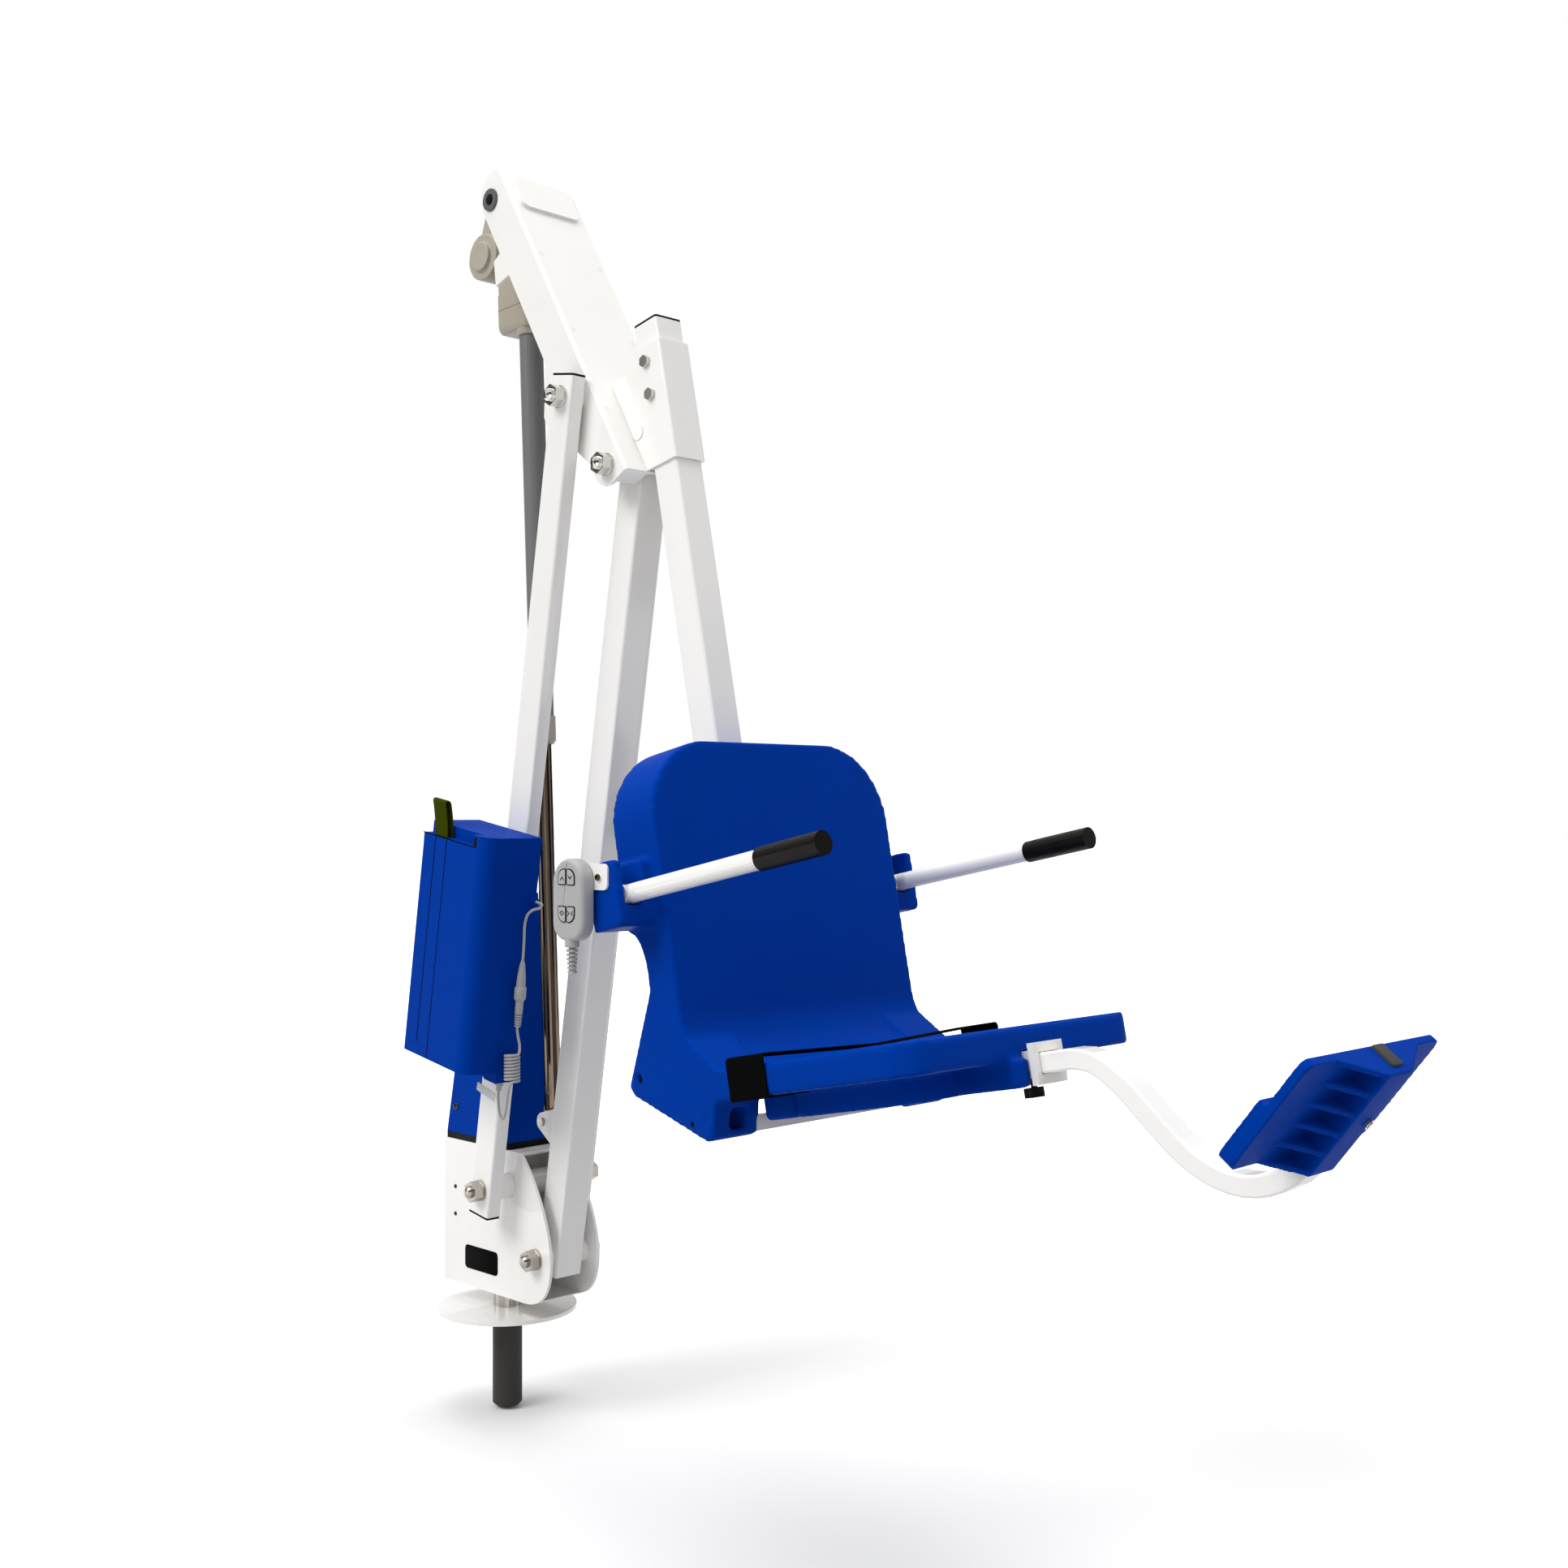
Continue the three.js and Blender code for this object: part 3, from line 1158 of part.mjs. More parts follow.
function boxPieces() {
  const group = frameAt(linkPivotX, 0, linkPivotZ, lean);
  const whole = flatSlab(caseOutline(), caseBottom, caseTop, 6);
  const skirt = polygon([
    [-20, caseBottom + 1], [caseFront, caseBottom + 1], [caseFront, skirtBottom],
    [44, skirtBottom], [24, caseBottom - 2],
  ]);
  const box = whole
    .subtract(boxBetween(caseRear - over, ledgeFront, caseNear - over, caseNear + caseLedge, caseRim, caseTop + over))
    .subtract(boxBetween(caseRear - over, packFront, caseNear - over, packBack, packBottom, caseTop + over))
    .add(sideSlab(skirt, skirtNear, caseFar))
    .add(boxBetween(-28, 28, caseFar - 1, -linkOuter - gap, caseBottom + 20, caseTop - 40))
    .add(rodX(6, caseFront - over, caseFront + glandLong, glandY, glandZ, smallSides));
  group.add(piece('control_case', box, finish.bluePlastic));
  const pack = union(
    boxBetween(caseRear - over, packFront - gap, caseNear - over, packBack - gap, packBottom + gap, caseRim),
    boxBetween(caseRear - over, packFront - gap, caseNear + caseLedge, packBack - gap, caseRim - over, caseTop),
  ).intersect(whole);
  group.add(piece('battery_pack', pack, finish.bluePlastic));
  const strap = frontSlab(roundedRect(strapNear, strapFar, caseRim - 20, strapHigh, 5.9), strapRear, strapFront, 4)
    .subtract(frontSlab(roundedRect(strapNear + strapSheet, strapFar - strapSheet, caseRim - 25,
      strapHigh - strapSheet, 3.4), strapRear - over, strapFront + over, 4))
    .subtract(boxBetween(strapRear - over, strapFront + over, caseNear, caseFar, caseRim - 30, caseRim + gap));
  group.add(piece('pull_strap', strap, finish.oliveWebbing));
  const plug = rodZ(4.2, plugLow, skirtBottom - 5, plugX, plugY, smallSides)
    .add(rodZ(6.2, skirtBottom - 7, skirtBottom - gap, plugX, plugY, smallSides));
  group.add(piece('cord_plug', plug, finish.greyPlastic));
  lift.add(group);
}

// The grey cord in front of the box: gland, short lead, connector, coil, plug
const cordRadius = 2.1;
const coilX = 195.4;
const coilY = -134.6;
const coilRadius = 10.6;
const coilTop = 446;
const coilBottom = 405;
const coilTurns = 8 + 1 / 6;
const coilStart = 30 * deg;
const stepsPerCurl = 8;
const connectorTop = [216, -130, 588];
const connectorLow = [199.5, -127.5, 487];
const leadPoints = [
  [228.2, -114, 676.1], [232.5, -113.8, 675.4], [237.6, -110.6, 672.4], [236, -112.6, 667.4],
  [229.6, -120.6, 664.4], [224.6, -126.6, 658], [221.4, -129.4, 646], [219, -130, 614],
  [216.9, -130, 593.4], [216.05, -130, 588.3],
];
const coilAbove = [
  [199.45, -127.5, 486.7], [198.7, -127.4, 482], [199.8, -126.2, 470], [202, -125.3, 457],
];
const coilBelow = [
  [202.4, -144.6, 399.5], [198.6, -144.2, 391], [191, -141, 372], [180.5, -137.5, 352], [171, -135, 345],
  [162, -133.5, 353], [158.2, -133, 372], [158.1, -133, 383], [158.8, -133, 387.3],
];

function cordTube(points, steps, sides) {
  const curve = new THREE.CatmullRomCurve3(points.map((p) => new THREE.Vector3(...p)), false, 'centripetal');
  const section = new THREE.Shape();
  for (let i = 0; i < sides; i++) {
    const angle = 2 * Math.PI * i / sides;
    const x = cordRadius * Math.cos(angle);
    const y = cordRadius * Math.sin(angle);
    if (i) section.lineTo(x, y);
    else section.moveTo(x, y);
  }
  return solidOf(new THREE.ExtrudeGeometry(section, { steps, extrudePath: curve, curveSegments: 1 }));
}

// Least gap of a cord to itself, on points along its centre line
function printLeastGap(name, points) {
  const stepsPerGap = 6;
  const skipShare = 4;             // cord diameters along the cord that count as the same place
  const fine = [];
  points.slice(1).forEach((end, i) => {
    const start = points[i];
    for (let k = 0; k < stepsPerGap; k++) {
      fine.push(new THREE.Vector3(...start).lerp(new THREE.Vector3(...end), k / stepsPerGap));
    }
  });
  const run = [0];
  fine.slice(1).forEach((point, i) => run.push(run[i] + point.distanceTo(fine[i])));
  let least = Infinity;
  fine.forEach((point, i) => {
    for (let k = i + 1; k < fine.length; k++) {
      if (run[k] - run[i] > skipShare * 2 * cordRadius) least = Math.min(least, point.distanceTo(fine[k]));
    }
  });
  console.log(`${name}: length ${run.at(-1).toFixed(1)} mm, least gap to itself ${(least - 2 * cordRadius).toFixed(2)} mm`);
}

function cordPieces() {
  lift.add(piece('supply_lead', cordTube(leadPoints, 30, 8), finish.greyPlastic));
  const coil = [];
  const count = Math.round(coilTurns * stepsPerCurl);
  for (let i = 0; i <= count; i++) {
    const share = i / count;
    const angle = coilStart - share * coilTurns * 2 * Math.PI;
    coil.push([
      coilX + coilRadius * Math.cos(angle), coilY + coilRadius * Math.sin(angle),
      coilTop + share * (coilBottom - coilTop),
    ]);
  }
  const points = [...coilAbove, ...coil, ...coilBelow];
  printLeastGap('coiled_cord', points);
  lift.add(piece('coiled_cord', cordTube(points, count + 24, 5), finish.greyPlastic));
  const low = new THREE.Vector3(...connectorLow);
  const along = new THREE.Vector3(...connectorTop).sub(low);
  const long = along.length();
  const body = turned([
    [0, 0], [5.4, 0], [6, 17], [8, 18], [8.2, 34], [9.6, 36], [9.6, 54], [7.6, 57], [6.6, 78], [4, long], [0, long],
  ], 16);
  const connector = piece('cord_connector', body, finish.greyPlastic);
  connector.position.copy(low);
  connector.quaternion.setFromUnitVectors(new THREE.Vector3(0, 0, 1), along.normalize());
  lift.add(connector);
}

// Handset on its clip, and the four buttons on its near face
const handsetX = seatX - 137.5;
const handsetLow = seatZ + 168.8;
const handsetHigh = handsetLow + 106;
const handsetHalf = 28;
const handsetFace = -seatHalf - 86.6;
const handsetBack = handsetFace + 21;
const clipFace = handsetBack + 0.3;
const clipBack = clipFace + 3;
const studX = handsetX - 1;
const studZ = handsetHigh - 23;
const buttonHalf = 7.2;
const buttonHigh = 19;
const buttonProud = 1.2;
const buttonSeat = 3.2;
const buttonTravel = 1.2;
const buttonSlip = 0.35;
const buttonSpots = [
  ['raise', handsetX - 9, handsetHigh - 28.5], ['lower', handsetX + 9, handsetHigh - 28.5],
  ['turn_left', handsetX - 9, handsetLow + 29], ['turn_right', handsetX + 9, handsetLow + 29],
];

function handsetPieces() {
  const outline = new THREE.Shape();
  const low = handsetX - handsetHalf;
  const high = handsetX + handsetHalf;
  outline.moveTo(low + 12, handsetLow);
  outline.lineTo(high - 12, handsetLow);
  outline.quadraticCurveTo(high, handsetLow + 3, high, handsetLow + 20);
  outline.lineTo(high, handsetHigh - handsetHalf);
  outline.absarc(handsetX, handsetHigh - handsetHalf, handsetHalf, 0, Math.PI);
  outline.lineTo(low, handsetLow + 20);
  outline.quadraticCurveTo(low, handsetLow + 3, low + 12, handsetLow);
  const middle = (handsetFace + handsetBack) / 2;
  let body = sideSlab(outline, handsetFace, handsetBack, 8)
    .add(rodZ(9.4, handsetLow - 16, handsetLow + over, handsetX - 2, middle, smallSides))
    .add(rodZ(6.6, handsetLow - 42, handsetLow - 15, handsetX - 2, middle, smallSides))
    .add(rodY(4.2, handsetBack - over, clipBack + 4, studX, studZ, smallSides))
    .add(rodY(7, clipBack + 0.6, clipBack + 4, studX, studZ, smallSides));
  buttonSpots.forEach(([, x, z]) => {
    body = body.subtract(boxBetween(x - buttonHalf - buttonSlip, x + buttonHalf + buttonSlip, handsetFace - over,
      handsetFace + buttonSeat + buttonTravel, z - buttonHigh / 2 - buttonSlip, z + buttonHigh / 2 + buttonSlip));
  });
  lift.add(piece('handset_body', body, finish.greyPlastic));
  buttonSpots.forEach(([name, x, z]) => {
    const shape = roundedRect(x - buttonHalf, x + buttonHalf, z - buttonHigh / 2, z + buttonHigh / 2, 2.5);
    lift.add(piece(`button_${name}`, sideSlab(shape, handsetFace - buttonProud, handsetFace + buttonSeat, 3),
      finish.greyPlastic));
  });
  const clip = sideSlab(roundedRect(studX - 11, studX + 57, studZ - 17, studZ + 17, 8), clipFace, clipBack, 4)
    .subtract(rodY(4.6, clipFace - over, clipBack + over, studX, studZ, smallSides))
    .subtract(boxBetween(studX - 4.6, studX + 4.6, clipFace - over, clipBack + over, studZ, studZ + 19))
    .add(rodY(4.5, clipFace - 2.4, clipFace + 1, studX + 41, studZ - 0.5, smallSides));
  lift.add(piece('handset_clip', clip, finish.whitePaint));
}

postPieces();
housingPieces();
drivePieces();
coverPieces();
mastPieces();
linkPieces();
headPieces();
actuatorPieces();
legPieces();
seatPieces();
armPieces();
footPieces();
bracketBolts();
boxPieces();
cordPieces();
handsetPieces();

export default lift;
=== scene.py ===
"""Pool patient lift: looks and stage over the CAD frame.

Lengths are millimetres until a place function turns them into the row frame, in metres:
+X where the patient faces, +Y the patient's left, +Z up.
"""
import math

import bpy
import numpy as np
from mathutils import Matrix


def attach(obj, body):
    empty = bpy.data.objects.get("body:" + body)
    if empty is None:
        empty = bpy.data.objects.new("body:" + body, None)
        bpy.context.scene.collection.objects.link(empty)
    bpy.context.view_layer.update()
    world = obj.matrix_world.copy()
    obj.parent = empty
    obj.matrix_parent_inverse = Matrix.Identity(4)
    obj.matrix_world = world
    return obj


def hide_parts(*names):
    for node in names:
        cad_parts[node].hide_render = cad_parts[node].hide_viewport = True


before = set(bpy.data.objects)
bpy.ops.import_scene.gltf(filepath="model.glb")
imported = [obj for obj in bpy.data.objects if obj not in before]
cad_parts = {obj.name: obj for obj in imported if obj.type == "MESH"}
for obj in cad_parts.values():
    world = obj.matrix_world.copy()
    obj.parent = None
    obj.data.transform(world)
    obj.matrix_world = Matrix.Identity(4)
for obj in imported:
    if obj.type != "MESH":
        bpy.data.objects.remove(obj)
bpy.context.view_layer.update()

bl_info = {
    "name": "Pool patient lift",
    "version": (1, 0, 0),
    "blender": (4, 5, 0),
    "location": "View3D > Sidebar > Lift",
    "description": "Dresses the CAD frame of a pool patient lift and sets its studio",
    "category": "Object",
}

MM = 0.001
SMOOTH_ANGLE = math.radians(32)
TURN = 2 * math.pi
QUARTER = math.pi / 2
TINY = 1e-9
PURE_WHITE = (1.0, 1.0, 1.0, 1.0)

# Frames of the object, each turned about Y
LINK_LEAN = math.radians(9.52)
LINK_PIVOT = (69.5, 0.0, 217.0)
MAST_PIVOT = (140.0, 0.0, 111.0)
SEAT_TILT = math.radians(11.5)
SEAT_ORIGIN = (695.5, 0.0, 476.2)
FOOT_TURN = math.radians(38)
FOOT_ORIGIN = (1507.0, 0.0, 569.0)
HEAD_TURN = math.radians(31)
HEAD_PIVOT = (343.4, 0.0, 1324.1)
TOP_PIN = (54.0, 0.0, 1784.0)
ROD_END = (123.0, 0.0, 321.0)
ROD_TURN = math.atan2(ROD_END[0] - TOP_PIN[0], TOP_PIN[2] - ROD_END[2])

# Faces that small pieces sit on
CHEEK_FACE = -49.0
COVER_FACE = -47.6
CLIP_FACE = -295.6
BOX_FACE = -209.0
SEAT_FOOT_FACE = -228.0
HEAD_FRONT_FACE = 31.5


def turned_frame(points, origin, turn):
    """Points turned about Y by the angle, moved to the origin and given in metres."""
    p = np.asarray(points, dtype=float)
    x = p[..., 0] * math.cos(turn) + p[..., 2] * math.sin(turn) + origin[0]
    z = -p[..., 0] * math.sin(turn) + p[..., 2] * math.cos(turn) + origin[2]
    return np.stack([x, p[..., 1] + origin[1], z], axis=-1) * MM


def in_row(points):
    """The row frame itself, millimetres to metres."""
    return np.asarray(points, dtype=float) * MM


def in_seat(points):
    """Seat frame: first number forward along the pan, third up the back."""
    return turned_frame(points, SEAT_ORIGIN, -SEAT_TILT)


def in_link(points):
    """Frame of the leaning near link bar, from its lower pivot."""
    return turned_frame(points, LINK_PIVOT, LINK_LEAN)


def in_mast(points):
    """Frame of the leaning mast, from its lower pivot."""
    return turned_frame(points, MAST_PIVOT, LINK_LEAN)


def in_head(points):
    """Frame of the lift head: first number out of its front plate, third up along the plate."""
    return turned_frame(points, HEAD_PIVOT, -HEAD_TURN)


def in_foot(points):
    """Frame of the foot plate: third number up its slope, first out of its under face."""
    return turned_frame(points, FOOT_ORIGIN, FOOT_TURN)


def in_actuator(points):
    """Frame of the actuator: third number up along the rod, from its top pin."""
    return turned_frame(points, TOP_PIN, -ROD_TURN)


def placed(frame_in, origin, order=(0, 1, 2), signs=(1, 1, 1)):
    """A place function: numbers taken in an order and with signs, moved to the origin of a frame."""
    return lambda p: frame_in(p[..., list(order)] * np.array(signs) + np.array(origin))


def on_near_face(face, frame_in, x=0.0, z=0.0):
    """Places (along, up, out) on a face that looks towards -Y."""
    return placed(frame_in, (x, face, z), (0, 2, 1), (1, -1, 1))


def on_front_face(face, frame_in):
    """Places (across, up, out) on a face that looks along the first axis."""
    return placed(frame_in, (face, 0, 0), (2, 0, 1))


def linear(code):
    """sRGB hex text to a linear RGBA tuple."""
    values = []
    for i in (0, 2, 4):
        c = int(code[i:i + 2], 16) / 255
        values.append(c / 12.92 if c <= 0.04045 else ((c + 0.055) / 1.055) ** 2.4)
    return (*values, 1.0)


# Meshes

def fan_volume(p):
    """Six times the volume under polygons: the first corner times the cross product of each next pair."""
    return np.einsum("ni,nki->", p[:, 0], np.cross(p[:, 1:-1], p[:, 2:]))


def skin(name, rings, uv=None):
    """A closed body over rings of points: a quad from each point to the next point and the next ring, and
    one face on each end. If the volume inside comes out negative, all faces are turned round."""
    rings = np.asarray(rings, dtype=float)
    rows, columns = rings.shape[:2]
    verts = rings.reshape(-1, 3)
    start = np.arange(rows - 1)[:, None] * columns
    here = np.arange(columns)
    after = (here + 1) % columns
    quads = np.stack([start + here, start + after, start + columns + after, start + columns + here], axis=-1)
    quads = quads.reshape(-1, 4)
    ends = np.stack([here[::-1], (rows - 1) * columns + here])
    if fan_volume(verts[quads]) + fan_volume(verts[ends]) < 0:
        quads = quads[:, ::-1]
        ends = ends[:, ::-1]
    mesh = bpy.data.meshes.new(name)
    mesh.from_pydata(verts.tolist(), [], quads.tolist() + ends.tolist())
    mesh.validate()
    if uv is not None:
        layer = mesh.uv_layers.new(name="cloth")
        index = np.empty(len(mesh.loops), dtype=np.int32)
        mesh.loops.foreach_get("vertex_index", index)
        layer.data.foreach_set("uv", np.asarray(uv, dtype=np.float32)[index].ravel())
    smooth_faces(mesh)
    obj = bpy.data.objects.new(name, mesh)
    bpy.context.scene.collection.objects.link(obj)
    return obj


def smooth_faces(mesh):
    """Smooth shading, with sharp edges where faces meet at more than the smooth angle."""
    mesh.polygons.foreach_set("use_smooth", [True] * len(mesh.polygons))
    mesh.set_sharp_from_angle(angle=SMOOTH_ANGLE)


def smooth_route(points, per_gap):
    """Centripetal Catmull-Rom curve: knots grow by the square root of each chord, and a point between two
    knots is a pyramid of straight blends of its four neighbours."""
    p = np.asarray(points, dtype=float)
    p = np.vstack([2 * p[0] - p[1], p, 2 * p[-1] - p[-2]])
    p0, p1, p2, p3 = (p[k:len(p) - 3 + k, None] for k in range(4))
    chords = np.stack([p1 - p0, p2 - p1, p3 - p2])
    gaps = np.sqrt(np.linalg.norm(chords, axis=-1, keepdims=True))
    t0, t1, t2, t3 = np.cumsum(np.concatenate([np.zeros_like(gaps[:1]), gaps]), axis=0)
    t = t1 + (t2 - t1) * (np.arange(per_gap) / per_gap)[None, :, None]

    def blend(first, second, low, high):
        """The first value at the low knot and the second at the high one."""
        return ((high - t) * first + (t - low) * second) / (high - low)

    a1, a2, a3 = blend(p0, p1, t0, t1), blend(p1, p2, t1, t2), blend(p2, p3, t2, t3)
    curve = blend(blend(a1, a2, t0, t2), blend(a2, a3, t1, t3), t1, t2)
    return np.vstack([curve.reshape(-1, p.shape[1]), p[-2]])


def run_along(path):
    """Distance from the path's start to each of its points."""
    return np.concatenate([[0.0], np.cumsum(np.linalg.norm(np.diff(path, axis=0), axis=1))])


def unit_tangents(path):
    """Directions of a path: differences of its neighbouring points, at length 1."""
    tangent = np.gradient(path, axis=0)
    return tangent / np.linalg.norm(tangent, axis=1)[:, None]


def carried_frames(path):
    """Two cross directions at each point of a path: the last side, less its share along the new tangent.
    A path that starts almost upright takes its first side from the X axis."""
    least_side = 0.1
    tangent = unit_tangents(path)
    side = np.cross(tangent[0], (0.0, 0.0, 1.0))
    if np.linalg.norm(side) < least_side:
        side = np.cross(tangent[0], (1.0, 0.0, 0.0))
    sides = []
    for t in tangent:
        side = side - np.dot(side, t) * t
        side = side / np.linalg.norm(side)
        sides.append(side)
    sides = np.array(sides)
    return sides, np.cross(tangent, sides)


def sweep(name, path, section):
    """The section carried along the path: path plus side times its first number plus up times its second."""
    side, up = carried_frames(path)
    return skin(name, path[:, None] + side[:, None] * section[:, :1] + up[:, None] * section[:, 1:])


def circle(radius, sides):
    """Points of a circle: the radius times the cosine and sine of even angles."""
    angle = np.linspace(0, TURN, sides, endpoint=False)
    return np.stack([radius * np.cos(angle), radius * np.sin(angle)], axis=-1)


def cornered(x0, x1, y0, y1, radii, steps=8):
    """Outline of a box: a quarter circle about the centre of each corner, from the upper right one round.
    The radii are one for all corners or one for each."""
    radius = np.broadcast_to(np.asarray(radii, dtype=float), 4)[:, None]
    right = np.array([1, 0, 0, 1])[:, None]
    upper = np.array([1, 1, 0, 0])[:, None]
    x = np.where(right, x1 - radius, x0 + radius)
    y = np.where(upper, y1 - radius, y0 + radius)
    angle = QUARTER * (np.arange(4)[:, None] + np.arange(steps + 1) / steps)
    return np.stack([x + radius * np.cos(angle), y + radius * np.sin(angle)], axis=-1).reshape(-1, 2)


def inner_normals(outline):
    """Inward directions of an outline: the sum of its two neighbouring edges, at length 1, turned left."""
    total = np.roll(outline, -1, axis=0) - np.roll(outline, 1, axis=0)
    total = total / np.maximum(np.linalg.norm(total, axis=1), TINY)[:, None]
    return np.stack([-total[:, 1], total[:, 0]], axis=-1)


def slab(name, outline, layers, place):
    """A body over layers of one outline: the outline at each height, moved in by that layer's inset."""
    layers = np.array(layers, dtype=float)
    rings = np.empty((len(layers), len(outline), 3))
    rings[..., :2] = outline + inner_normals(outline) * layers[:, 1, None, None]
    rings[..., 2] = layers[:, 0, None]
    return skin(name, place(rings))


def soft_layers(low, high, radius, steps=4):
    """Layers whose upper edge is a quarter circle: height by the sine, inset by one less the cosine."""
    angle = QUARTER * np.arange(steps + 1) / steps
    rounded = np.stack([high - radius + radius * np.sin(angle), radius * (1 - np.cos(angle))], axis=-1)
    return np.vstack([(low, 0.0), rounded])


def lathe(name, profile, place, sides=40):
    """A body turned about the third axis: a circle of each radius at each height of the profile."""
    profile = np.array(profile, dtype=float)
    rings = np.empty((len(profile), sides, 3))
    rings[..., :2] = circle(1.0, sides) * profile[:, 0, None, None]
    rings[..., 2] = profile[:, 1, None]
    return skin(name, place(rings))


def ribbed(core, rib, growth, start, pitch, offsets, count):
    """Profile of a ribbed neck: core, rib, rib and core radii at four offsets, a pitch further each time."""
    k = np.arange(count)[:, None]
    radius = np.where([False, True, True, False], rib + growth * k, core)
    return np.stack([radius, start + pitch * k + np.array(offsets)], axis=-1).reshape(-1, 2)


def ribbon(name, line, frame_in, width, thick, across_start):
    """A flat band: each point of the line moved by half the thickness along the line's normal, at places
    across the width. Its UV is the run along the line and the place across."""
    steps = 6
    edge_share = 0.3
    edge = thick * edge_share
    tangent = unit_tangents(line)
    normal = np.stack([-tangent[:, 1], tangent[:, 0]], axis=-1)
    run = run_along(line)
    flat = across_start + edge + (width - 2 * edge) * np.arange(steps + 1) / steps
    half = np.full(steps + 1, thick / 2)
    across = np.concatenate([flat, [across_start + width], flat[::-1], [across_start]])
    height = np.concatenate([half, [0.0], -half, [0.0]])
    rings = np.empty((len(line), len(across), 3))
    rings[..., 0] = across
    rings[..., 1:] = line[:, None] + normal[:, None] * height[:, None]
    uv = np.stack(np.broadcast_arrays(run[:, None], across), axis=-1).reshape(-1, 2)
    return skin(name, frame_in(rings), uv), run[-1]


def corner_line(points, radii, steps=8):
    """A line whose inner corners are quadratic Bezier curves between the points where an arc of the
    radius would touch: the radius over the tangent of half the corner's angle."""
    p = np.asarray(points, dtype=float)
    t = np.arange(steps + 1)[:, None] / steps
    parts = [p[:1]]
    for before, corner, after, radius in zip(p[:-2], p[1:-1], p[2:], radii):
        back = (before - corner) / np.linalg.norm(before - corner)
        ahead = (after - corner) / np.linalg.norm(after - corner)
        reach = radius / math.tan(math.acos(np.clip(np.dot(back, ahead), -1.0, 1.0)) / 2)
        start = corner + back * reach
        end = corner + ahead * reach
        parts.append((1 - t) ** 2 * start + 2 * t * (1 - t) * corner + t ** 2 * end)
    parts.append(p[-1:])
    return np.vstack(parts)


def evenly(line, step):
    """The same line with points at about the given step along it."""
    run = run_along(line)
    places = np.linspace(0.0, run[-1], int(run[-1] / step) + 1)
    return np.column_stack([np.interp(places, run, line[:, axis]) for axis in range(line.shape[1])])


def dress(obj, look):
    """Gives an object one material on all faces."""
    obj.data.materials.clear()
    obj.data.materials.append(bpy.data.materials[look])


def finish_piece(obj, look, body, slot, *stands_for):
    """Material and body of a new piece, and the CAD nodes that it stands for, which it hides. The slot is not
    used.
    """
    dress(obj, look)
    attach(obj, body)
    if stands_for:
        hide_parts(*stands_for)


# Materials

def node(tree, kind, inputs=None, **settings):
    """One node with its settings and its inputs, each input a value or a socket to link."""
    made = tree.nodes.new(kind)
    for key, value in settings.items():
        setattr(made, key, value)
    for key, value in (inputs or {}).items():
        if isinstance(value, bpy.types.NodeSocket):
            tree.links.new(value, made.inputs[key])
        else:
            made.inputs[key].default_value = value
    return made


def shader(name, **values):
    """A new node material with its tree and its Principled node, whose sockets get the given values."""
    made = bpy.data.materials.new(name)
    made.use_nodes = True
    bsdf = made.node_tree.nodes["Principled BSDF"]
    for key, value in values.items():
        bsdf.inputs[key.replace("_", " ")].default_value = value
    return made.node_tree, bsdf


def speckle(tree, cell, detail=3.0, stretch=(1.0, 1.0, 1.0)):
    """Noise over Object coordinates, with its cell in millimetres, longer where stretch is more than 1."""
    coords = node(tree, "ShaderNodeTexCoord")
    mapping = node(tree, "ShaderNodeMapping", {
        "Vector": coords.outputs["Object"],
        "Scale": tuple(1 / (cell * MM) / share for share in stretch),
    })
    return node(tree, "ShaderNodeTexNoise", {
        "Vector": mapping.outputs["Vector"], "Scale": 1.0, "Detail": detail,
    }).outputs["Fac"]


def toned(tree, bsdf, colour, tone_shares, pattern):
    """Base colour: the colour times a low and a high share, mixed by a pattern."""
    dark, light = (tuple(min(1.0, c * share) for c in colour[:3]) + (1.0,) for share in tone_shares)
    mixed = node(tree, "ShaderNodeMix", {0: pattern, 6: dark, 7: light}, data_type="RGBA")
    tree.links.new(mixed.outputs[2], bsdf.inputs["Base Color"])


def textured(tree, bsdf, gloss, gloss_pattern, relief_pattern, strength, depth):
    """Roughness over the gloss range by one pattern, and relief of a depth in millimetres by another."""
    rough = node(tree, "ShaderNodeMapRange", {
        "Value": gloss_pattern, "From Min": 0.3, "From Max": 0.7, "To Min": gloss[0], "To Max": gloss[1],
    })
    relief = node(tree, "ShaderNodeBump", {
        "Height": relief_pattern, "Strength": strength, "Distance": depth * MM,
    })
    tree.links.new(rough.outputs["Result"], bsdf.inputs["Roughness"])
    tree.links.new(relief.outputs["Normal"], bsdf.inputs["Normal"])


def painted(name, code, gloss=(0.3, 0.42), grain=0.9, relief=0.02, shine=0.5, tone_shares=(0.97, 1.02),
            highlight="FFFFFF"):
    """Paint, powder coat or moulded plastic: a fine grain in relief and slow changes of gloss and tone.
    The real grain is about a third as wide and wouldn't show, so it is drawn coarser."""
    cloud = 70.0
    tree, bsdf = shader(name, Specular_IOR_Level=shine, Specular_Tint=linear(highlight))
    slow = speckle(tree, cloud, detail=4.0)
    toned(tree, bsdf, linear(code), tone_shares, slow)
    textured(tree, bsdf, gloss, slow, speckle(tree, grain, detail=2.0), strength=0.35, depth=relief)


def steel(name, code, gloss=(0.14, 0.26)):
    """Polished or brushed stainless steel: fine streaks along Z that change the gloss."""
    cloud = 40.0
    streak_width = 0.8
    relief = 0.01
    tree, bsdf = shader(name, Metallic=1.0)
    tone_shares = (0.94, 1.03)
    toned(tree, bsdf, linear(code), tone_shares, speckle(tree, cloud))
    streak = speckle(tree, streak_width, stretch=(1.0, 1.0, 30.0))
    textured(tree, bsdf, gloss, streak, streak, strength=0.15, depth=relief)


